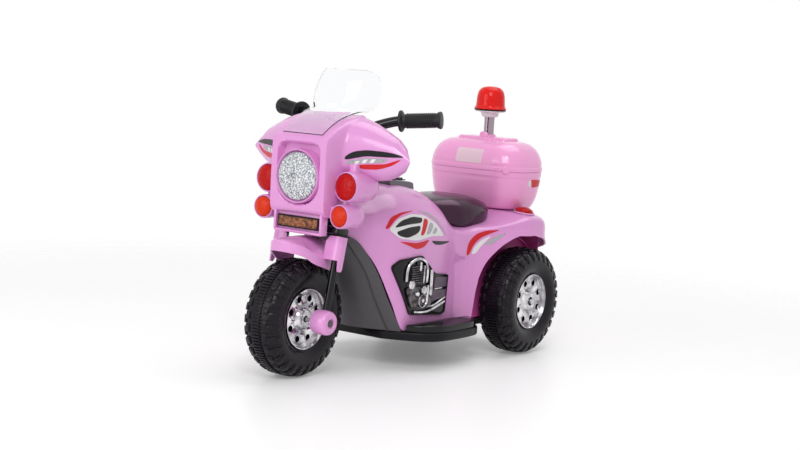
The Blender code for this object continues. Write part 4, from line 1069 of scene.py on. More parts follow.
@dataclass
class FrontEnd:
    """Everything that turns with the handlebar except the wheel."""

    form: FairingForm = field(default_factory=FairingForm)
    headlight: Vector = field(default_factory=lambda: Vector((0, -0.303, 0.367)))
    red_lamp: Vector = field(default_factory=lambda: Vector((0.091, -0.277, 0.355)))
    amber_lamp: Vector = field(default_factory=lambda: Vector((0.089, -0.289, 0.302)))
    red_radius: float = 0.0275
    amber_radius: float = 0.022
    bar_radius: float = 0.0095
    leg_x: float = 0.064
    leg_set: float = 0.009

    @staticmethod
    def on_axis(distance: float) -> Vector:
        """A point on the steering axis."""
        return FRONT_AXLE + STEER_AXIS * distance

    @staticmethod
    def lamp_back(side: Side) -> Vector:
        """Direction in which a lamp pod runs back from its lens."""
        return side.at(0.06, 1, -0.04).normalized()

    def cowl(self) -> Mesh:
        """The fairing's skin."""
        form = self.form
        half = [form.face_half * k / 34 for k in range(35)]
        half += [form.face_half + (form.wing_start - form.face_half) * k / 8 for k in range(1, 9)]
        span = form.wing_tip - form.wing_start
        half += [form.wing_start + span * (k / 34) ** 0.92 for k in range(1, 35)]
        stations = [-x for x in reversed(half[1:])] + half
        return Shape.skin([form.profile(x) for x in stations], WALL)

    def pod(self, centre: Vector, side: Side, radius: float, length: float) -> Mesh:
        """A lamp pod: a cup with a rolled rim and a rounded back."""
        back = self.lamp_back(side)
        wall = radius - 0.0035
        outer = [(0.0, wall + 0.0004), (-0.001, wall + 0.0012), (-0.001, radius - 0.0012),
            (0.0012, radius), (0.3 * length, radius * 1.015), (0.62 * length, radius * 0.985),
            (0.82 * length, 0.9 * radius), (0.94 * length, 0.7 * radius), (length, 0.36 * radius),
            (1.005 * length, 0.02 * radius)]
        inner = [(0.01, 0.02 * radius), (0.01, wall), (0.004, wall + 0.0002)]
        return Shape.lathe(centre, back, inner + outer, 56)

    def lens(self, centre: Vector, side: Side, radius: float) -> Mesh:
        """A domed lens with a stepped rim."""
        profile = [(-0.007, 0.02 * radius), (-0.0068, 0.3 * radius), (-0.0056, 0.62 * radius),
            (-0.0034, 0.86 * radius), (-0.0012, 0.955 * radius), (-0.001, radius), (0.0068, radius),
            (0.0068, 0.02 * radius)]
        return Shape.lathe(centre, self.lamp_back(side), profile, 48)

    def headlight_ring(self) -> Mesh:
        """Rim and reflector bowl behind the lens."""
        profile = mm(((-3, 46.2), (-4.4, 47.4), (-3.6, 48.8), (0, 49.4), (16.5, 49.6), (16.8, 40),
            (20.5, 39.2), (23.5, 18), (21.5, 17.8), (15, 37), (4.5, 44), (4.5, 45.5)))
        return Shape.lathe(self.headlight, Y_AXIS, profile, 72, loop=True)

    def reflector(self) -> Mesh:
        """Silvered dish with its bulb, behind the glass."""
        dish = Shape.smooth_profile(mm(((5, 42), (8, 41), (12, 35), (15.5, 24), (17, 9), (17.2, 1.2))), 4)
        bulb = Shape.smooth_profile(mm(((17, 4.4), (12, 4.4), (9, 5.6), (6.6, 4), (6, 0.4))), 4)
        back = mm(((18.4, 1.2), (18, 9.5), (16.5, 25), (12.8, 36.5), (9, 42.5)))
        turned = Shape.lathe(self.headlight, Y_AXIS, [*dish, *back], 64, loop=True)
        return Shape.joined([turned, Shape.lathe(self.headlight, Y_AXIS, bulb, 32)])

    def headlight_glass(self) -> Mesh:
        """Domed lens with raised facets in staggered rings."""
        rings, segments = [], 96
        for k in range(30):
            share = k / 29
            radius = 0.0436 * sin(0.5 * pi * share) if k else 0.0004
            rise = -0.0118 * cos(0.5 * pi * share) ** 0.8
            ring = []
            for s in range(segments):
                angle = 2 * pi * s / segments
                facet = 0.0006 * sin(radius * 900) * sin(24 * angle + (k % 2) * pi * 0.5) if 1 < k < 27 else 0
                ring.append(self.headlight + Vector((radius * sin(angle), rise - facet + 0.001,
                    radius * cos(angle))))
            rings.append(ring)
        back = [[self.headlight + Vector((0.0436 * sin(2 * pi * s / segments), 0.004,
            0.0436 * cos(2 * pi * s / segments))) for s in range(segments)]]
        return Shape.loft(rings + back)

    def plate_bracket(self) -> Mesh:
        """Tray under the face that carries the number plate, with its two cheeks."""
        tray = Shape.block((-0.056, -0.29, 0.264), (0.056, -0.279, 0.302), 0.0022)
        cheeks = [Shape.block((s * 0.0535 - 0.0028, -0.2975, 0.2655),
            (s * 0.0535 + 0.0028, -0.279, 0.3025), 0.0018) for s in (1, -1)]
        sill = Shape.block((-0.056, -0.2965, 0.2625), (0.056, -0.279, 0.2675), 0.0018)
        return Shape.joined([tray, sill, *cheeks])

    def webs(self, side: Side) -> Mesh:
        """Ribs that tie the lamp pods to each other and to the cowl."""
        def span(x: float, half: float) -> tuple[float, float]:
            """Both ends of a width on this side."""
            return side.value * x - half, side.value * x + half
        low, high = span(0.092, 0.0065)
        between = Shape.block((low, -0.268, 0.314), (high, -0.236, 0.336), 0.002)
        low, high = span(0.064, 0.012)
        inner = Shape.block((low, -0.284, 0.2975), (high, -0.264, 0.318), 0.002)
        low, high = span(0.092, 0.008)
        upper = Shape.block((low, -0.262, 0.374), (high, -0.222, 0.396), 0.003)
        return Shape.joined([between, inner, upper])

    def windshield(self) -> Mesh:
        """Clear screen with its foot on the slope of the fairing."""
        slope = mm(((-296, 441), (-270, 458), (-235, 474), (-200, 482), (-170, 485)))
        tracks = []
        for start, wrap, half, rise in mm(((-295, 0, 46, 2), (-270.5, 0, 47, 2.4), (-252, 12, 50, 3.4),
                (-240, 35, 58, 4.6))):
            row = []
            for k in range(-12, 13):
                y = start + wrap * (k / 12) ** 2
                row.append(Vector((half * k / 12, y, line(slope, y) + rise)))
            tracks.append(row)
        for z, y, half, wrap in mm(((488, -233, 66, 52), (500, -229, 74, 54), (520, -222, 76.5, 55),
                (540, -213, 72, 50), (554, -205, 62, 40), (561.5, -200, 46, 24))):
            tracks.append([Vector((half * k / 12, y + wrap * (k / 12) ** 2, z)) for k in range(-12, 13)])
        columns = [Shape.curve(column, 6) for column in zip(*tracks)]
        rows = [[column[i] for column in columns] for i in range(len(columns[0]))]
        return Shape.skin(rows, -0.0018)

    def fender(self) -> Mesh:
        """Hooded fender: a domed top and an upright skirt that runs round the nose."""
        table = mm(((-342.5, 0, 251, 232.5), (-340.5, 13.5, 252.5, 232), (-337, 24, 254, 230.8),
            (-328, 34, 255.8, 228), (-315, 41, 257, 222), (-300, 45.5, 257.5, 212.5),
            (-280, 49, 257.5, 205), (-260, 51, 256.5, 198.5), (-240, 53, 253, 195)))
        rows = []
        for y, half, top, edge in Shape.curve(table, 6):
            crease = edge + 0.0178
            side = [Vector((half, y, edge)), Vector((half * 1.004, y, edge + 0.0012)),
                Vector((half * 0.994, y, crease - 0.004)), Vector((half * 0.988, y, crease - 0.0012))]
            for k in range(15):
                share = 0.975 * (1 - k / 14)
                side.append(Vector((half * share, y, crease + (top - crease) * (1 - share ** 2.2))))
            rows.append([Vector((-p.x, p.y, p.z)) for p in side] + side[-2::-1])
        hood = Shape.skin(rows, WALL)
        boss = Shape.lathe(Vector((0, -0.262, 0.253)), Z_AXIS, [(0, 0.008), (0.0088, 0.008)], 32)
        return Shape.joined([hood, boss, *(self.guard(side) for side in Side)])

    def guard(self, side: Side) -> Mesh:
        """Folded guard in front of a fork leg, with a tongue on its outer cheek."""
        fold = Shape.curve(mm(((46.5, -4.6), (55, -5), (65, -6.2), (73.5, -5.6), (78.2, -1), (78.8, 4),
            (78.6, 10))), 7)
        rows = []
        for k in range(33):
            row = []
            for x, d in fold:
                low = 0.1135 - 0.0195 * ease((x - 0.0765) / 0.0016) + 0.004 * ease((d - 0.006) / 0.004)
                top = 0.148 + 0.009 * ease((x - 0.046) / 0.01)
                row.append(self.on_axis(low + (top - low) * k / 32) + side.at(x) + REARWARD * d)
            rows.append(row)
        return Shape.skin(rows, -WALL * side.value)

    def bar_path(self) -> Row:
        """Centre line of the handlebar from its right end to its left end."""
        centre = self.on_axis(0.3405)
        half = [(0.0, centre.y, centre.z), (0.032, centre.y, centre.z),
            (0.06, centre.y + 0.016, centre.z + 0.008), (0.086, -0.183, 0.464), (0.113, -0.16, 0.474),
            (0.15, -0.1455, 0.4775), (0.184, -0.1322, 0.4807)]
        left = Shape.curve(half, 10)
        return [Vector((-p.x, p.y, p.z)) for p in reversed(left[1:])] + left

    def grip(self, side: Side) -> Mesh:
        """Grip core with a wide hand stop at its inner end and a flared outer end."""
        start = side.at(0.116, -0.159, 0.4743)
        end = side.at(0.1892, -0.1302, 0.4813)
        length = (end - start).length
        profile = [(0.0, 0.01), (-0.0004, 0.017), (0.0004, 0.0194), (0.0022, 0.02), (0.0042, 0.0196),
            (0.0058, 0.0176), (0.007, 0.0142), (0.01, 0.0126), (0.5 * length, 0.0126),
            (length - 0.01, 0.013), (length - 0.006, 0.0152), (length - 0.0025, 0.0162),
            (length - 0.0006, 0.0154), (length, 0.013), (length, 0.002)]
        return Shape.lathe(start, end - start, profile, 48)

    def grip_ribs(self, side: Side) -> Mesh:
        """Fine rings round a grip."""
        start = side.at(0.116, -0.159, 0.4743)
        along = (side.at(0.1892, -0.1302, 0.4813) - start).normalized()
        ring = Shape.lathe(start + along * 0.0125, along, mm(((0, 12.2), (0.3, 13.6), (1.2, 14.2),
            (2.1, 13.6), (2.4, 12.2))), 36, loop=True)
        return CopiesOf(RUBBER).row(ring, 15, along * 0.0037)

    def fork(self) -> Mesh:
        """Crown, stem and bar clamp."""
        centre = self.on_axis(0.1605)
        corners = mm(((-74, -13), (74, -13), (74, 20), (-74, 20)))
        crown = Shape.loft([[centre + Vector((x, 0, 0)) + REARWARD * d + STEER_AXIS * h
            for x, d in corners] for h in (0, 0.0135)])
        stem = Shape.lathe(self.on_axis(0.165), STEER_AXIS, [(0, 0.01), (0.1755, 0.01)], 40)
        clamp = Shape.lathe(self.on_axis(0.325), STEER_AXIS, mm(((0, 15), (1.5, 16.5), (29.5, 16.5),
            (31, 15))), 40)
        return Shape.joined([Shape.bevelled(crown, 0.003, 3), stem, clamp])

    def leg(self, side: Side) -> Mesh:
        """One fork leg, set behind the steering axis, with the lug that holds the axle."""
        offset = side.at(self.leg_x)
        tube = Shape.lathe(self.on_axis(0) + offset + REARWARD * self.leg_set, STEER_AXIS,
            [(0, 0.0075), (0.1697, 0.0075)], 32)
        lug = Shape.lathe(FRONT_AXLE + offset - Vector((0.0065, 0, 0)), X_AXIS,
            mm(((0, 4.5), (0, 13), (0.5, 13.5), (12.5, 13.5), (13, 13), (13, 4.5))), 40, loop=True)
        return Shape.joined([tube, lug])

    def axle_cap(self, side: Side) -> Mesh:
        """Barrel-shaped cap over the axle end with a stepped socket in its face."""
        profile = mm(((0, 6), (0, 19), (1.2, 21.2), (5, 22.4), (16, 22.8), (25, 22.4), (29.5, 21.3),
            (32.5, 19.2), (33.8, 16.4), (34, 12.5), (33.9, 9.6), (33, 8.8), (31, 8.6), (30.9, 1)))
        return Shape.lathe(FRONT_AXLE + side.at(0.053), side.at(1), profile, 56)

    def cap_screw(self, side: Side) -> Mesh:
        """Dark cross-head screw in the socket of an axle cap."""
        base = FRONT_AXLE + side.at(0.0826)
        head = Shape.lathe(base, side.at(1), mm(((0, 6.6), (3, 6.6), (4, 5), (4.1, 0.8))), 32)
        bars = [Shape.block((base.x + side.value * 0.0034 - 0.001, base.y - a, base.z - b),
            (base.x + side.value * 0.0034 + 0.001, base.y + a, base.z + b), 0.0004)
            for a, b in ((0.004, 0.0008), (0.0008, 0.004))]
        return Shape.joined([head, *bars])

    def build(self) -> None:
        """Makes the steered pieces."""
        add = partial(Workshop.add, body=Body.STEERING)
        add("cowl", self.cowl(), PINK, "fairing", sharp=50)
        add("plate_tray", self.plate_bracket(), PINK)
        add("headlight_ring", self.headlight_ring(), PINK, "headlight_bowl")
        add("reflector", self.reflector(), SILVER)
        add("headlight_glass", self.headlight_glass(), LAMP_GLASS, "headlight_lens")
        add("screen", self.windshield(), CLEAR, "windshield")
        add("fender", self.fender(), PINK, "front_fender")
        add("bar", Shape.sweep(self.bar_path(), lambda share: self.bar_radius, 28), GLOSS_BLACK,
            "handlebar")
        add("crown_and_stem", self.fork(), GLOSS_BLACK, "fork_stem")
        for side in Side:
            word = side.word
            for label, lamp, radius, length, finish in (("red", self.red_lamp, self.red_radius, 0.074,
                    RED_LENS), ("amber", self.amber_lamp, self.amber_radius, 0.056, AMBER_LENS)):
                centre = side.at(lamp.x, lamp.y, lamp.z)
                add(f"{label}_pod_{word}", self.pod(centre, side, radius, length), PINK)
                add(f"{label}_glass_{word}", self.lens(centre, side, radius - 0.004), finish,
                    f"{label}_lens_{word}")
            add(f"pod_webs_{word}", self.webs(side), PINK)
            add(f"hand_grip_{word}", self.grip(side), RUBBER, f"grip_{word}")
            add(f"grip_ribs_{word}", self.grip_ribs(side), RUBBER)
            add(f"leg_{word}", self.leg(side), GLOSS_BLACK, f"fork_leg_{word}")
            add(f"wheel_cap_{word}", self.axle_cap(side), PINK, f"axle_cap_{word}")
            add(f"cap_screw_{word}", self.cap_screw(side), SHIELD_GREY)
        Workshop.dress("fairing_bracket", BLACK)
        Workshop.dress("front_axle", STEEL)
        Workshop.dress("number_plate", BLACK)
        add("plate_face", Shape.block((-0.0448, -0.2962, 0.2742), (0.0448, -0.2953, 0.2912), 0.0003),
            PLATE_BRONZE)


@dataclass
class CopiesOf:
    """Copies of one part set by geometry nodes, along a line or round the X axis."""

    finish: Finish
    round_axis: bool = False
    kit: NodeKit = field(init=False)

    def __post_init__(self) -> None:
        """Builds the tree: a line of points with the part on each, turned about X where it goes round."""
        kit = NodeKit.group("CopiesOf", "GeometryNodeTree", (("Part", "Object", None),
            ("Count", "Int", 8), ("Step", "Vector", None), ("Phase", "Float", 0.0),
            ("Centre", "Vector", None)), (("Geometry", "Geometry"),))
        given = kit.given()
        part = kit.node("GeometryNodeObjectInfo", {"transform_space": "ORIGINAL"}, Object=given["Part"])
        dots = kit.node("GeometryNodeMeshLine", Count=given["Count"], Offset=given["Step"])
        copies = kit.node("GeometryNodeInstanceOnPoints", Points=dots.outputs[0],
            Instance=part.outputs["Geometry"])
        made = copies.outputs[0]
        if self.round_axis:
            index = kit.node("GeometryNodeInputIndex").outputs[0]
            share = kit.math("DIVIDE", kit.math("ADD", index, given["Phase"]), given["Count"])
            turn = kit.node("ShaderNodeCombineXYZ", X=kit.math("MULTIPLY", share, 2 * pi))
            kit.fill(copies, Rotation=turn.outputs[0])
            made = kit.node("GeometryNodeTransform", Geometry=made,
                Translation=given["Centre"]).outputs[0]
        real = kit.node("GeometryNodeRealizeInstances", Geometry=made)
        painted = kit.node("GeometryNodeSetMaterial", Geometry=real.outputs[0],
            Material=self.finish.material())
        kit.node("NodeGroupOutput", Geometry=painted.outputs[0])
        self.kit = kit

    def _run(self, part: Mesh, values: dict[str, object]) -> Mesh:
        """Runs the tree on an empty carrier.

        Args:
            part: The part to copy.
            values: The other inputs by name.

        Returns:
            The plain mesh that the tree makes.
        """
        guide = Shape.placed("part", part)
        carrier = Shape.placed("carrier", bpy.data.meshes.new("carrier"))
        step = carrier.modifiers.new("nodes", "NODES")
        step.node_group = self.kit.tree
        for label, value in {"Part": guide, **values}.items():
            step[self.kit.keys[label]] = value
        made = Shape.applied(carrier)
        bpy.data.objects.remove(guide, do_unlink=True)
        return made

    def row(self, part: Mesh, count: int, step: Vector) -> Mesh:
        """Sets copies of a part along a line, from where the part stands."""
        return self._run(part, {"Count": count, "Step": step})

    def ring(self, part: Mesh, count: int, phase: float, centre: Vector) -> Mesh:
        """Sets copies of a part round a centre.

        Args:
            part: The part, made about the origin with the X axis as the ring's axis.
            count: Copies in the ring.
            phase: Share of a step that the ring is turned by.
            centre: The ring's centre.

        Returns:
            The joined mesh.
        """
        return self._run(part, {"Count": count, "Step": Vector(), "Phase": phase, "Centre": centre})


@dataclass
class Wheel:
    """One blow-moulded wheel: carcass, tread and the chrome caps."""

    name: str
    centre: Vector
    body: Body
    faces: tuple[Side, ...]
    half: float = 0.037
    ground: float = 0.0028
    blocks: int = 28
    ribs: int = 108

    def carcass_profile(self) -> list[tuple[float, float]]:
        """Half section of the tyre, as (distance from the middle, radius), from the tread's middle out."""
        return Shape.smooth_profile(((0.0, TYRE_R - self.ground), (0.012, TYRE_R - self.ground - 0.0002),
            (0.021, 0.1036), (0.028, 0.1), (0.033, 0.0938), (0.0362, 0.086), (0.037, 0.078),
            (0.0358, 0.07), (0.0325, 0.0625), (0.03, 0.059), (0.029, 0.0572)), 4)

    def carcass(self) -> Mesh:
        """The tyre with a raised bead ring and a recess for each cap."""
        out = self.carcass_profile()
        well = {side.value: side in self.faces for side in Side}
        closed = mm(((26.2, 54), (25.8, 30), (25.8, 6.6)))
        open_well = mm(((27.6, 56.2), (16.6, 55.6), (16.5, 6.6)))
        right = [(a, r) for a, r in out] + (open_well if well[1] else closed)
        left = [(-a, r) for a, r in out[1:]] + [(-a, r) for a, r in (open_well if well[-1] else closed)]
        profile = list(reversed(left)) + right
        return Shape.lathe(self.centre, X_AXIS, profile, 144, loop=True)

    def _tread(self, start: float, stop: float, width: Callable[[float], float], skew: float, rise: float,
            steps: int = 7) -> Mesh:
        """A block that lies on the carcass between two places of its section.

        Args:
            start: Distance from the middle at which the block begins.
            stop: Distance along the section at which it ends, as a share of the profile.
            width: Half-length round the wheel, as a function of the share of the block.
            skew: How far the block leans round the wheel, in radians.
            rise: Height over the carcass.
            steps: Rows along the block.

        Returns:
            The block, about the X axis at the top of the wheel.
        """
        profile = [Vector(p) for p in self.carcass_profile()]
        rings = []
        for i in range(steps + 1):
            share = i / steps
            at = start + (stop - start) * share
            k = min(int(at * (len(profile) - 1)), len(profile) - 2)
            here = profile[k].lerp(profile[k + 1], at * (len(profile) - 1) - k)
            tangent = (profile[k + 1] - profile[k]).normalized()
            normal = Vector((-tangent.y, tangent.x))
            if normal.y < 0:
                normal = -normal
            lift = rise * min(1.0, 0.5 + 9.0 * min(share, 1 - share))
            ring = []
            for across, up in ((-1.0, -0.4), (-0.95, 0.8), (-0.86, 1.0), (0.0, 1.0), (0.86, 1.0),
                    (0.95, 0.8), (1.0, -0.4)):
                point = here + normal * (lift * up if up > 0 else -0.001)
                angle = skew * share + across * width(share) / here.y
                ring.append(Vector((point.x, point.y * sin(angle), point.y * cos(angle))))
            rings.append(ring)
        return Shape.loft(rings)

    @staticmethod
    def _mirror(made: Mesh) -> Mesh:
        """The same mesh on the other side of the wheel's middle plane."""
        twin = made.copy()
        twin.transform(Matrix.Diagonal((-1, 1, 1, 1)))
        twin.flip_normals()
        return twin

    def tread(self) -> Mesh:
        """Centre ladder, staggered blocks, shoulder lugs and thin side arcs."""
        copies = CopiesOf(TYRE_BLACK, round_axis=True)
        rung = Shape.block((-0.0092, -0.0017, TYRE_R - 0.0045), (0.0092, 0.0017, TYRE_R - 0.0002), 0.0005)
        inner = self._tread(0.125, 0.235, lambda share: 0.007, 0.0, 0.0029)
        outer = self._tread(0.225, 0.4, lambda share: 0.0068 + 0.0008 * share, 0.0, 0.0028)
        lug = self._tread(0.395, 0.52, lambda share: 0.0046 - 0.0012 * share, 0.0, 0.0018)
        pieces = [copies.ring(rung, self.ribs, 0.0, self.centre)]
        for part, phase in ((inner, 0.0), (outer, 0.34), (lug, 0.34)):
            twin = self._mirror(part)
            pieces.append(copies.ring(part, self.blocks, phase, self.centre))
            pieces.append(copies.ring(twin, self.blocks, phase + 0.5, self.centre))
        return Shape.joined(pieces)

    def cap_height(self, radius: float, angle: float) -> float:
        """How far the cap's face stands out from the middle plane.

        Args:
            radius: Distance from the axle.
            angle: Angle round it.

        Returns:
            The distance along the axle.
        """
        boss = 0.0084 * ease((0.0215 - radius) / 0.0045)
        rim = 0.0098 * ease((radius - 0.0502) / 0.0036)
        inner = ease((radius - 0.0225) / 0.006)
        dish = 0.0026 * inner * ease((0.049 - radius) / 0.0045)
        spoke = 0.0044 * (0.5 + 0.5 * cos(8 * angle)) ** 3 * inner * ease((0.048 - radius) / 0.01)
        return 0.02 + boss + rim + dish + spoke

    def cap(self, side: Side, bore: float) -> Mesh:
        """Chrome cap with eight round holes between low spokes.

        Args:
            side: The face of the wheel that it sits in.
            bore: Radius of the axle hole.

        Returns:
            The cap with its wall.
        """
        outer, holes_at, hole = 0.0553, 0.039, 0.0062

        holes = [Shape.circle(bore, 32)]
        for k in range(8):
            angle = 2 * pi * (k + 0.5) / 8
            holes.append(Shape.circle(hole, 20, (holes_at * cos(angle), holes_at * sin(angle))))
        inner = [p for r in (0.012, 0.0155, 0.018, 0.02, 0.0222, 0.0245, 0.0275, 0.0305, 0.0335, 0.0365,
            0.0395, 0.0425, 0.045, 0.047, 0.0486, 0.0502, 0.0516, 0.0528, 0.054) if r > bore + 0.001
            for p in Shape.circle(r, 96) if min((p - sum(h, Vector((0, 0))) / len(h)).length
            for h in holes[1:]) > hole + 0.0008]
        flat, faces = Shape.plate(Shape.circle(outer, 96), holes, inner)
        points = []
        for p in flat:
            x = self.cap_height(p.length, 0.0 if p.length < 1e-6 else Vector((1, 0)).angle_signed(p))
            points.append(self.centre + side.at(x, p.x, p.y))
        made = Shape.mesh(points, faces)
        outward = sum((face.normal.x * face.area for face in made.polygons), 0.0) * side.value
        if outward < 0:
            made.flip_normals()
        face = Shape.thicken(made, 0.0014)
        skirt = Shape.lathe(self.centre, side.at(1), mm(((16.8, 53.3), (29.6, 54.5), (30.6, 54.9),
            (30.6, 55.6), (29, 55.8), (16.8, 54.7))), 96, loop=True)
        bead = Shape.lathe(self.centre, side.at(1), Shape.smooth_profile(mm(((27.2, 16.5), (28.8, 16.2),
            (29.3, 14.5), (28.8, 12.8), (27.2, 12.5))), 3), 48)
        return Shape.joined([face, skirt, bead])

    def build(self) -> None:
        """Makes the tyre, its tread and its caps."""
        front = self.body is Body.FRONT_WHEEL
        node = "front" if front else "rear"
        tyre = "front_tyre" if front else f"rear_tyre_{self.faces[0].word}"
        Workshop.add(f"{self.name}_carcass", self.carcass(), TYRE_BLACK, tyre, body=self.body)
        Workshop.add(f"{self.name}_tread", self.tread(), TYRE_BLACK, body=self.body, sharp=50)
        for side in self.faces:
            Workshop.add(f"{self.name}_cap_{side.word}", self.cap(side, 0.0062 if front else 0.009),
                CHROME, f"{node}_hubcap_{side.word}", body=self.body, sharp=50)


@dataclass
class TailBox:
    """Lidded box on the tail with the beacon on its lid."""

    centre_y: float = 0.322
    seam: float = 0.366
    hinge: Vector = field(default_factory=lambda: Vector((0, 0.3965, 0.366)))
    beacon: Vector = field(default_factory=lambda: Vector((0, 0.322, 0.431)))

    def ring(self, half_x: float, half_y: float, z: float, corner: float, steps: int = 14) -> Row:
        """A level rectangle with round corners and softly bowed sides."""
        out = []
        for sx, sy, quarter in ((1, 1, 0), (-1, 1, 1), (-1, -1, 2), (1, -1, 3)):
            for k in range(steps + 1):
                angle = 0.5 * pi * (quarter + k / steps)
                out.append(Vector((sx * (half_x - corner) + corner * cos(angle),
                    self.centre_y + sy * (half_y - corner) + corner * sin(angle), z)))
        return out

    def hull(self, levels: Sequence[tuple[float, float, float, float]], steps: int) -> list[Row]:
        """Rings through smoothed levels of (half x, half y, height, corner)."""
        soft = Shape.curve([Vector(level) for level in levels], steps)
        return [self.ring(*level) for level in soft]

    def tub(self) -> Mesh:
        """Lower half with a bead under the seam, its wall and the hinge knuckles."""
        outer = self.hull(mm(((86, 46, 286.6, 39), (94, 54, 287.8, 42), (100, 60, 292, 46),
            (109, 67, 312, 52), (114, 72, 340, 56), (115.2, 73, 353, 57))), 5)
        outer += self.hull(((0.1162, 0.0738, 0.3556, 0.058), (0.1165, 0.074, 0.357, 0.058),
            (0.1165, 0.074, 0.364, 0.058), (0.116, 0.0736, self.seam, 0.0575)), 3)
        inner = self.hull(((0.114, 0.0715, self.seam, 0.0555), (0.1138, 0.0713, 0.34, 0.055),
            (0.106, 0.064, 0.312, 0.049), (0.097, 0.057, 0.293, 0.043), (0.085, 0.045, 0.2892, 0.038)), 4)
        shell = Shape.loft(outer + inner)
        knuckles = [Shape.lathe(Vector((x, self.hinge.y, self.hinge.z)), X_AXIS,
            mm(((0, 1.7), (0, 3.1), (0.4, 3.5), (15.6, 3.5), (16, 3.1), (16, 1.7))), 32, loop=True)
            for x in (-0.034, 0.018)]
        return Shape.joined([shell, *knuckles])

    def cover(self) -> Mesh:
        """Domed lid with its lip, the stepped plinth and the pole's boss."""
        outer = self.hull(mm(((116.2, 73.8, 366.3, 57.5), (117.5, 75, 367.2, 58.5),
            (117.5, 75, 373.5, 58.5), (116.8, 74.4, 375, 58.2))), 3)
        outer += self.hull(mm(((116.2, 74, 376, 57.8), (115, 73, 386, 57), (109, 68, 402, 54),
            (98, 58, 416, 48), (80, 42, 424.5, 36), (50, 20, 426.5, 16), (20, 8, 426.8, 6))), 6)
        inner = self.hull(mm(((30, 9, 424, 7), (78, 40, 422, 34), (95.5, 55.5, 413.5, 46),
            (106.5, 65.5, 400.5, 52), (115, 72.5, 374, 56), (115, 72.5, 366.3, 56))), 4)
        shell = Shape.loft(outer + inner, loop=True)
        plinth = Shape.loft(self.hull(mm(((63.5, 31.5, 421.5, 13), (63, 31, 423.5, 13),
            (61.8, 30, 425, 12), (60, 28.2, 430, 11), (58, 26.2, 431.6, 10))), 4))
        boss = Shape.lathe(Vector((0, self.centre_y, 0.43)), Z_AXIS,
            Shape.smooth_profile(mm(((0, 18.5), (1.6, 16), (5, 15), (6.2, 14), (6.6, 12))), 4), 48)
        knuckle = Shape.lathe(self.hinge - Vector((0.0175, 0, 0)), X_AXIS,
            mm(((0, 1.7), (0, 3.2), (0.4, 3.5), (34.6, 3.5), (35, 3.2), (35, 1.7))), 32, loop=True)
        web = Shape.block((-0.0175, 0.388, 0.3664), (0.0175, 0.395, 0.3694), 0.0008)
        return Shape.joined([shell, plinth, boss, knuckle, web])

    def gusset(self) -> Mesh:
        """Upright tab on the plinth ahead of the pole, with rounded shoulders."""
        front = [Vector((-0.0105, 0.0)), Vector((-0.01, 0.0075)), Vector((-0.007, 0.0112)),
            Vector((0, 0.0122)), Vector((0.007, 0.0112)), Vector((0.01, 0.0075)), Vector((0.0105, 0.0))]
        soft = Shape.curve(front, 5)
        rings = [[Vector((p.x, self.centre_y + y, 0.4302 + p.y)) for p in soft]
            for y in (-0.0185, -0.0165)]
        return Shape.bevelled(Shape.loft(rings), 0.0006)

    def latch(self) -> Mesh:
        """Small turned catch at the seam of the left side."""
        base = Vector((0.0905, 0.2555, 0.37))
        turn = Vector((0.66, -0.75, 0.0)).normalized()
        plate = Shape.lathe(base - turn * 0.004, turn, Shape.smooth_profile(mm(((0, 8.5), (4.2, 8.5),
            (5.4, 7.8), (6, 6), (6.2, 0.4))), 3), 40)
        return plate

    def label(self) -> Mesh:
        """Bare pale label place on the lid's front."""
        def front(x: float, z: float, rise: float) -> Vector:
            """A point over the lid's front."""
            half = line(mm(((375, 74.4), (376, 74), (386, 73), (402, 68), (416, 58))), z)
            lean = line(((0.375, 0.0), (0.386, 0.15), (0.402, 0.45), (0.416, 0.7)), z)
            return Vector((x, self.centre_y - half - rise, z + lean * rise))
        outline = Overlay.rounded(mm(((-30, 379), (34, 379), (34, 408), (-30, 408))), 0.003)
        return Overlay(front, 0.005).piece(outline, 0.0008, 0.001)

    def pole(self) -> Mesh:
        """Plated tube with a thin band at its foot and head."""
        return Shape.lathe(self.beacon, Z_AXIS, mm(((5.7, 2), (5.7, 11), (9, 11), (9.4, 10.6), (37, 10.6),
            (37.4, 11), (41, 11), (41, 2))), 48)

    def cup(self) -> Mesh:
        """Flared cup below the dome."""
        profile = Shape.smooth_profile(mm(((41.3, 12.5), (42, 15), (44, 17.2), (49, 18.6), (51.5, 20),
            (52.8, 30), (54.5, 31.8))), 4)
        return Shape.lathe(self.beacon, Z_AXIS, profile + mm(((55, 32), (58, 32), (58, 10))), 64)

    def dome(self) -> Mesh:
        """Red dome with a rolled rim, a fine belt and its wall."""
        outer = Shape.smooth_profile(mm(((106.2, 0.3), (106, 6), (105.2, 12), (102.5, 19.5), (96, 25.8),
            (88, 28.5), (80, 29.5), (65, 30.6))), 5)
        outer += mm(((64.5, 31.2), (63, 31.5), (62.2, 32.2)))
        outer += Shape.smooth_profile(mm(((61.5, 33), (60.6, 33.5), (59.2, 33.5), (58.4, 33.1))), 3)
        inner = mm(((58.3, 29), (80, 27.5), (93.5, 24.5), (101, 17), (103.8, 6), (104, 0.3)))
        return Shape.lathe(self.beacon, Z_AXIS, outer + inner, 72)

    def reflector(self) -> Mesh:
        """Turned lamp holder and reflector cone inside the dome."""
        return Shape.lathe(self.beacon, Z_AXIS, Shape.smooth_profile(mm(((58.4, 0.4), (58.4, 24),
            (60, 24), (66, 18), (70, 9), (86, 7), (89, 0.4))), 3), 40)

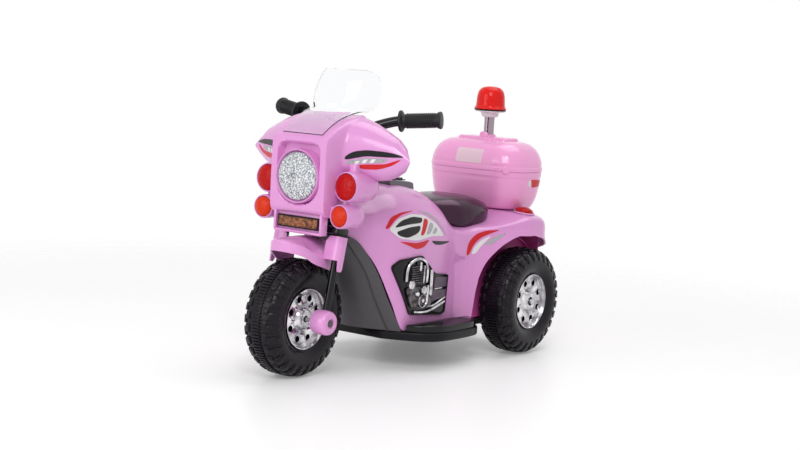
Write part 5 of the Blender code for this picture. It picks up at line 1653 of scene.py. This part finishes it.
    def build(self) -> None:
        """Makes the box, its lid and the beacon."""
        on_lid = partial(Workshop.add, body=Body.LID)
        # The box's pink is lightened overall as painted light for the strong light on its front.
        Workshop.add("tub", self.tub(), BOX_PINK_AND_PAINTED_LIGHT, "box_base")
        on_lid("box_cover", self.cover(), BOX_PINK_AND_PAINTED_LIGHT, "box_lid")
        on_lid("pole_gusset", self.gusset(), BOX_PINK_AND_PAINTED_LIGHT)
        on_lid("lid_catch", self.latch(), BOX_PINK_AND_PAINTED_LIGHT)
        on_lid("label_place", self.label(), LABEL)
        on_lid("dome_seal", Shape.lathe(self.beacon, Z_AXIS, mm(((55.2, 30), (55.2, 32.8), (56, 33.4),
            (57.6, 33.4), (58.2, 32.8), (58.2, 30))), 64, loop=True), BLACK)
        on_lid("plated_pole", self.pole(), DARK_CHROME, "beacon_pole")
        on_lid("beacon_cup", self.cup(), WHITE, "beacon_collar")
        on_lid("red_dome", self.dome(), DOME_RED, "beacon_dome")
        on_lid("beacon_reflector", self.reflector(), WHITE)
        Workshop.dress("box_hinge_pin", STEEL)


@dataclass
class Overlay:
    """Thin or raised pieces that lie on a curved surface."""

    # Gives the point over the surface for two places on it and a rise
    surface: Callable[[float, float, float], Vector]
    cell: float = 0.0055

    @staticmethod
    def rounded(corners: Profile, radius: float, steps: int = 5) -> Row:
        """A closed outline with its corners rounded.

        Args:
            corners: The corners in order.
            radius: Length that each corner gives up on both of its sides.
            steps: Points of each corner.

        Returns:
            The outline's points.
        """
        out = []
        points = [Vector(p) for p in corners]
        for before, here, after in zip([points[-1], *points], points, [*points[1:], points[0]]):
            a = here + (before - here).normalized() * min(radius, 0.45 * (before - here).length)
            b = here + (after - here).normalized() * min(radius, 0.45 * (after - here).length)
            out += [a.lerp(here, t / steps).lerp(here.lerp(b, t / steps), t / steps)
                for t in range(steps + 1)]
        return out

    @staticmethod
    def dense(outline: Sequence[Vector], longest: float) -> Row:
        """The outline with extra points on its long edges."""
        out = []
        for a, b in zip(outline, [*outline[1:], outline[0]]):
            parts = max(1, int((b - a).length / longest))
            out += [a.lerp(b, k / parts) for k in range(parts)]
        return out

    def piece(self, outline: Sequence[Vector], rise: float, wall: float,
            hole: Sequence[Vector] = ()) -> Mesh:
        """A sheet with a given outline, laid over the surface.

        Args:
            outline: The outline in the surface's own two measures.
            rise: Height of its outer face over the surface.
            wall: Its thickness, inwards from there.
            hole: Outline of an opening in it.

        Returns:
            The closed sheet.
        """
        edge = self.dense(outline, self.cell)
        holes = [self.dense(hole, self.cell)] if hole else []
        low = Vector((min(p.x for p in edge), min(p.y for p in edge)))
        high = Vector((max(p.x for p in edge), max(p.y for p in edge)))
        inner = []
        for i in range(1, int((high.x - low.x) / self.cell) + 1):
            for j in range(1, int((high.y - low.y) / self.cell) + 1):
                spot = low + Vector((i, j)) * self.cell
                if min((spot - p).length for p in [*edge, *(holes[0] if holes
                        else [])]) > 0.45 * self.cell:
                    inner.append(spot)
        flat, faces = Shape.plate(edge, holes, inner)
        used = sorted({i for face in faces for i in face})
        place = {old: new for new, old in enumerate(used)}
        made = Shape.mesh([self.surface(flat[i].x, flat[i].y, rise) for i in used],
            [[place[i] for i in face] for face in faces])
        spot = flat[used[0]]
        outward = self.surface(spot.x, spot.y, rise + 0.001) - self.surface(spot.x, spot.y, rise)
        if sum(face.area * face.normal.dot(outward) for face in made.polygons) < 0:
            made.flip_normals()
        return Shape.thicken(made, wall)

    def tube(self, path: Profile, radius: float, rise: float = 0.0, steps: int = 6) -> Mesh:
        """A round bar that lies on the surface along a smooth path."""
        spots = Shape.curve(path, steps)
        return Shape.sweep([self.surface(p.x, p.y, rise + radius) for p in spots],
            lambda share: radius * (1.0 if 0.02 < share < 0.98 else 0.7), 16)

    def button(self, u: float, v: float, profile: Profile, segments: int = 36) -> Mesh:
        """A turned piece that stands on the surface."""
        base = self.surface(u, v, 0)
        return Shape.lathe(base, self.surface(u, v, 0.01) - base, profile, segments)


@dataclass
class Trim:
    """Lamps, switches, pedal, engine panels and printed shapes of the chassis."""

    skin: BodySkin
    box: TailBox = field(default_factory=TailBox)
    panel_rise: float = 0.0025

    def flank(self, side: Side, lift: float = 0.0) -> Overlay:
        """Overlay for one flank of the body, by station and height."""
        return Overlay(lambda y, z, rise: Vector((side.value * (self.skin.half_width(y, z) + lift + rise),
            y, z)))

    def engine(self, side: Side) -> None:
        """Engine panel: plate, rim and the relief of a small motor with its pipes."""
        corners = mm(((-122.5, 194), (-70, 103.5), (35, 94.5), (50, 98.5), (56, 166), (56, 172), (6, 178),
            (-44, 217), (-105, 212), (-122.5, 201)))
        outline = Overlay.rounded(corners, 0.0055)
        middle = Vector((-0.03, 0.152))
        inset = [middle + (p - middle) * 0.955 for p in outline]
        ground = self.flank(side)
        face = self.flank(side, self.panel_rise)
        word = side.word
        Workshop.add(f"panel_plate_{word}", ground.piece(outline, self.panel_rise, 0.0024), GLOSS_BLACK,
            f"engine_panel_{word}")
        Workshop.add(f"panel_rim_{word}", face.piece(outline, 0.0014, 0.0014, inset), BLACK)
        case = Overlay.rounded(mm(((-92, 158), (-70, 117), (-8, 112), (0, 158))), 0.012)
        boxes = [Overlay.rounded(mm(((1, 151), (47, 150), (48, 168), (3, 172))), 0.003),
            Overlay.rounded(mm(((-4, 126), (45, 128), (47, 144), (-2, 147))), 0.003)]
        dark = [face.piece(case, 0.004, 0.0036), face.button(-0.0385, 0.129,
            mm(((4, 10.5), (5.8, 10), (6.4, 9), (6.4, 0.3))))]
        near = face.surface(-0.0525, 0.166, 0).x - side.value * 0.0012
        far = near + side.value * 0.0064
        fin = Shape.block((min(near, far), -0.079, 0.165), (max(near, far), -0.0265, 0.1672), 0.0006)
        lean = (face.surface(-0.0525, 0.198, 0).x - face.surface(-0.0525, 0.166, 0).x) / 7
        dark.append(CopiesOf(BLACK).row(fin, 8, Vector((lean, 0, 0.0044))))
        Workshop.add(f"motor_case_{word}", Shape.joined(dark), CAST_METAL)
        Workshop.add(f"motor_boxes_{word}", Shape.joined([face.piece(b, 0.0032, 0.003) for b in boxes]),
            PLUM_GREY)
        disc = mm(((-1, 7.5), (4.6, 7.5), (6.2, 6.2), (6.8, 0.3)))
        ring = Shape.smooth_profile(mm(((4, 10.5), (7.2, 11.8), (7.2, 13.2), (4, 13.6))), 3)
        # The two short chrome rods at -54 and -40 mm on the motor case are a painted highlight: bright bars
        # where the dark cylinder shows only a highlight.
        bright = [face.tube(mm(((-90, 170), (-89, 190), (-81.5, 204.5), (-58, 211.5), (-35, 204),
            (-27.5, 188), (-27.5, 164))), 0.0032), face.tube(((-0.054, 0.189), (-0.054, 0.206)), 0.0026,
            0.0036), face.tube(((-0.04, 0.164), (-0.04, 0.198)), 0.0018, 0.0036),
            face.tube(mm(((-12, 138), (-13, 162), (-14, 188))), 0.0042),
            face.tube(((-0.021, 0.122), (-0.0205, 0.158)), 0.003),
            face.tube(mm(((-62, 108.5), (-35, 106), (-8, 107.5), (42, 120.5))), 0.0034),
            face.tube(mm(((-18, 116), (2, 116.5), (43, 128.5))), 0.0022, 0.0012),
            face.tube(((0.003, 0.1485), (0.035, 0.1478)), 0.0019),
            face.button(-0.074, 0.163, [(a, r * 1.25) for a, r in disc]),
            face.button(-0.0585, 0.144, [(a + 0.003, r * 0.62) for a, r in disc]),
            face.button(-0.0385, 0.15, [(a + 0.003, r * 1.1) for a, r in disc]),
            face.button(-0.0385, 0.129, mm(((6, 4.2), (7.8, 4.2), (8.6, 3), (8.8, 0.3)))),
            Shape.lathe(face.surface(-0.0385, 0.129, 0), side.at(1), ring, 48, loop=True)]
        Workshop.add(f"motor_bright_{word}", Shape.joined(bright), CHROME)

    def prints(self, side: Side) -> None:
        """Plain printed shapes on the tank and the rear fender, one piece per colour."""
        flank = self.flank(side)
        word = side.word
        prints = ((DECAL_WHITE, 0.0005, (mm(((-134, 270), (-112, 289), (-75, 297), (-35, 293), (2, 276),
            (34, 249), (-10, 252), (-60, 246), (-108, 252))), mm(((133, 206), (140, 222), (156, 235),
            (178, 244.5), (163, 231), (150, 218), (142, 207))))),
            (DECAL_RED, 0.0005, (mm(((-141, 272), (-127, 292.5), (-100, 300.5), (-60, 303), (-100, 296.5),
            (-121, 286), (-134.5, 270))), mm(((-110, 247), (-60, 241), (-18, 246), (-36, 232),
            (-60, 229))), mm(((121, 204), (126, 230), (142, 246), (166, 253.5), (196, 255), (174, 247.5),
            (152, 238), (138, 225), (129, 205))))), (DECAL_SILVER, 0.0005,
            (mm(((-52, 302.5), (-20, 292.5), (12, 276), (44, 247), (12, 281), (-18, 297))),
            mm(((160, 226), (180, 240), (208, 250), (190, 236), (172, 224))))),
            (DECAL_BLACK, 0.0009, (mm(((-123.5, 272.5), (-104, 286), (-72, 292), (-41.5, 288.5),
            (-46, 279.5), (-86, 278))), mm(((-118, 265), (-86, 272.5), (-49, 274.5), (-57, 261),
            (-88, 252.5), (-110, 257))))), (DECAL_RED, 0.0009, (mm(((-37, 288.5), (-23, 283.5),
            (-40, 255.5), (-52, 255))),)), (DECAL_SILVER, 0.0009,
            (mm(((-18, 280.5), (-5, 273.5), (-20, 256.5), (-33, 256.2))),
            mm(((-1, 270), (8, 263), (-1, 256), (-12, 256))))), (DECAL_BLACK, 0.0005,
            (mm(((-14, 243), (20, 240), (62, 236.5), (30, 232.5), (2, 234))),)))
        for order, (finish, rise, shapes) in enumerate(prints):
            pieces = [flank.piece(Overlay.rounded(shape, 0.009), rise, 0.0004) for shape in shapes]
            Workshop.add(f"print_{order}_{finish.name}_{word}", Shape.joined(pieces), finish)

    def wing_prints(self, side: Side) -> None:
        """Plain spindle-shaped flash on a wing of the cowl."""
        form = FairingForm()
        lay = Overlay(lambda x, z, rise: Vector((side.value * x, form.wing_front(x, z) - rise, z)), 0.004)
        prints = ((DECAL_BLACK, 0.0007, mm(((75.5, 408), (88, 418), (110, 422.5), (141, 421.5),
            (160, 418.5), (174.5, 413.5), (148, 412), (110, 411.5), (76, 402)))),
            (DECAL_SILVER, 0.0007, mm(((77, 400), (110, 408.5), (148, 409.5), (138, 401), (110, 399),
            (80, 393.5)))), (DECAL_RED, 0.0007, mm(((86, 392.5), (110, 396.5), (142, 399), (170, 411),
            (154, 397.5), (130, 388.5), (106, 387.5)))))
        for finish, rise, shape in prints:
            Workshop.add(f"wing_{finish.name}_{side.word}", lay.piece(Overlay.rounded(shape, 0.008), rise,
                0.001), finish, body=Body.STEERING)
        bars = [lay.piece(Overlay.rounded(((x, z), (x + 0.007, z + 0.0008), (x + 0.0035, z - 0.006),
            (x - 0.0035, z - 0.0068)), 0.001), 0.001, 0.0006) for x, z in mm(((94, 401.5), (107, 405),
            (120, 406.5)))]
        Workshop.add(f"wing_bars_{side.word}", Shape.joined(bars), DECAL_WHITE, body=Body.STEERING)

    def box_prints(self, side: Side) -> None:
        """Short plain flashes on the tail box's flank."""
        def around(s: float, z: float, rise: float) -> Vector:
            """A point over the box's flank, counted round its corner."""
            half_x = line(mm(((292, 100), (312, 109), (340, 114), (362, 116.5))), z)
            half_y, corner = half_x * 0.636, 0.056
            flat = half_y - corner
            if s <= flat:
                return Vector((side.value * (half_x + rise), self.box.centre_y + s, z))
            turn = (s - flat) / corner
            return Vector((side.value * (half_x - corner + (corner + rise) * cos(turn)),
                self.box.centre_y + flat + (corner + rise) * sin(turn), z))
        lay = Overlay(around, 0.004)
        for finish, shape in ((DECAL_RED, mm(((-4, 351), (34, 349), (36, 336), (2, 334)))),
                (DECAL_WHITE, mm(((-16, 347), (-7, 351), (-1, 334), (-12, 338))))):
            Workshop.add(f"box_{finish.name}_{side.word}", lay.piece(Overlay.rounded(shape, 0.003),
                0.0005, 0.0004), finish)

    def tail_lamp(self, side: Side) -> None:
        """Red dome on the fender's top with a pale seat under it."""
        def rings(levels: Profile, steps: int) -> list[Row]:
            """Rings that follow the fender's top."""
            out = []
            for radius, rise in Shape.smooth_profile(levels, steps):
                ring = []
                for k in range(56):
                    x = side.value * (0.122 + side.value * radius * cos(2 * pi * k / 56))
                    y = 0.287 + radius * sin(2 * pi * k / 56)
                    ring.append(Vector((x, y, self.skin.height(y, x) + rise)))
                out.append(ring)
            return out
        dome = rings(mm(((18.6, 1.6), (19, 3.4), (18.5, 5.2), (16.5, 8.5), (13, 10.5), (8, 11.9),
            (3, 12.5))), 4)
        seat = rings(mm(((19.3, 0.8), (19.3, 3), (20.2, 3.6), (21.6, 3), (22.2, 0.8))), 3)
        word = side.word
        Workshop.add(f"tail_dome_{word}", Shape.loft(dome), RED_LENS, f"tail_lamp_{word}")
        Workshop.add(f"tail_seat_{word}", Shape.loft(seat, loop=True), PINK)

    def controls(self) -> None:
        """Switch panel with its rocker, its two push buttons and four screws."""
        spine = mm(((-56, 351.5), (-54, 354), (-30, 353), (0, 350.5), (18, 348), (22, 345.5)))
        rings = []
        for spot in Shape.curve(spine, 6):
            y, top = spot
            under = [Vector((x, y, self.skin.height(y, x) + 0.0005))
                for x in (-0.028, -0.021, -0.014, -0.007, 0.0, 0.007, 0.014, 0.021, 0.028)]
            over = [Vector((0.0264 * cos(pi * k / 16), y, top - 0.003 + 0.003 * sin(pi * k / 16) ** 0.4))
                for k in range(17)]
            rings.append(under + over)
        dots = [Shape.lathe(Vector((x, y, z)), Z_AXIS, mm(((0, 2.2), (0.8, 2.2), (1.2, 1.4))), 20)
            for x, y, z in mm(((20, -50, 352.4), (-20, -50, 352.4), (20, 15, 347.6), (-20, 15, 347.6)))]
        Workshop.add("switch_panel", Shape.loft(rings), PANEL_GREY, "control_panel")
        Workshop.add("panel_screws", Shape.joined(dots), STEEL)
        frame = Overlay(lambda x, y, rise: Vector((x, y, 0.351 - 0.11 * (y - 0.002) + rise)))
        bezel = frame.piece(Overlay.rounded(mm(((-12.5, -12), (12.5, -12), (12.5, 15.5), (-12.5, 15.5))),
            0.003), 0.002, 0.002, [Vector(p) for p in mm(((-8.3, -9), (8.3, -9), (8.3, 13), (-8.3, 13)))])
        Workshop.add("rocker_bezel", bezel, BLACK)
        shape = Shape.curve(mm(((-7, 346.5), (-7, 354.8), (2, 353), (11, 354.8), (11, 346.5))), 5)
        rocker = Shape.bevelled(Shape.loft([[Vector((x, p.x, p.y)) for p in shape]
            for x in (-0.0075, 0.0075)]), 0.0006)
        Workshop.add("rocker_cap", rocker, GLOSS_BLACK, "power_rocker", body=Body.ROCKER)
        for side, name, body in ((1, "horn", Body.HORN), (-1, "music", Body.MUSIC)):
            at = Vector((side * 0.015, -0.035, 0.3485))
            push = Shape.smooth_profile(mm(((0, 6), (6, 6), (7.2, 5.4), (7.8, 3), (7.9, 0.3))), 4)
            collar = mm(((4, 6.3), (5.8, 6.3), (6.2, 6.8), (5.8, 8.2), (4, 8.4)))
            Workshop.add(f"{name}_push", Shape.lathe(at, Z_AXIS, push, 40), DEEP_PINK_AND_PAINTED_SHADE, f"{name}_button",
                body=body)
            Workshop.add(f"{name}_collar", Shape.lathe(at, Z_AXIS, collar, 40, loop=True), BLACK)

    def pedal(self) -> None:
        """Foot pedal with ribs on its tread, between two ears with a pin."""
        tread = mm(((30, 90), (30, 94), (-30, 102), (-31.8, 100), (-31.8, 98.2), (-30, 96.5)))
        slab = Shape.bevelled(Shape.loft([[Vector((x, y, z)) for y, z in tread]
            for x in (-0.148, -0.11)]), 0.0012, 3)
        barrel = Shape.lathe(Vector((-0.148, 0.03, 0.0915)), X_AXIS,
            mm(((0, 1.7), (0, 3.2), (38, 3.2), (38, 1.7))), 28, loop=True)
        rib = Shape.block((-0.1445, -0.027, 0.1008), (-0.1135, -0.0246, 0.1026), 0.0006)
        ribs = CopiesOf(RUBBER).row(rib, 8, Vector((0, 0.0066, -0.00088)))
        Workshop.add("pedal_slab", Shape.joined([slab, barrel]), BLACK, "pedal", body=Body.PEDAL)
        Workshop.add("pedal_ribs", ribs, RUBBER, body=Body.PEDAL)
        ears = [Shape.block((x, 0.026, 0.084), (x + 0.0044, 0.034, 0.0955), 0.001)
            for x in (-0.153, -0.1094)]
        Workshop.add("pedal_ears", Shape.joined(ears), BLACK)
        pin = Shape.lathe(Vector((-0.1545, 0.03, 0.0915)), X_AXIS,
            mm(((0, 2.2), (1, 2.2), (1.2, 1.3), (50, 1.3))), 24)
        Workshop.add("pedal_pin", pin, STEEL)

    def stipple(self) -> None:
        """Raised dots on both footboards."""
        dot = Shape.lathe(Vector((0.1125, -0.046, 0.0858)), Z_AXIS,
            mm(((0, 1.3), (0.5, 1.2), (0.8, 0.6))), 10)
        copies = CopiesOf(GLOSS_BLACK)
        line_of = copies.row(dot, 9, Vector((0.0046, 0, 0)))
        Workshop.add("grip_dots_left", copies.row(line_of, 25, Vector((0, 0.0056, 0))), GLOSS_BLACK)
        other = line_of.copy()
        other.transform(Matrix.Translation((-0.2618, 0.088, 0)))
        Workshop.add("grip_dots_right", copies.row(other, 9, Vector((0, 0.0056, 0))), GLOSS_BLACK)

    def build(self) -> None:
        """Makes all the trim."""
        for side in Side:
            self.engine(side)
            self.prints(side)
            self.wing_prints(side)
            self.box_prints(side)
            self.tail_lamp(side)
        self.controls()
        self.pedal()
        self.stipple()


def main() -> None:
    """Builds the studio and every sub-assembly."""
    skin = BodySkin()
    wheels = (Wheel("front_wheel", FRONT_AXLE, Body.FRONT_WHEEL, (Side.LEFT, Side.RIGHT)),
        Wheel("left_wheel", REAR_AXLE + Vector((REAR_WHEEL_X, 0, 0)), Body.LEFT_WHEEL, (Side.LEFT,)),
        Wheel("right_wheel", REAR_AXLE - Vector((REAR_WHEEL_X, 0, 0)), Body.RIGHT_WHEEL, (Side.RIGHT,)))
    for part in (Studio(), Chassis(skin), FrontEnd(), *wheels, TailBox(), Trim(skin)):
        LOG.info("building %s", type(part).__name__)
        part.build()


if __name__ == "__main__":
    main()
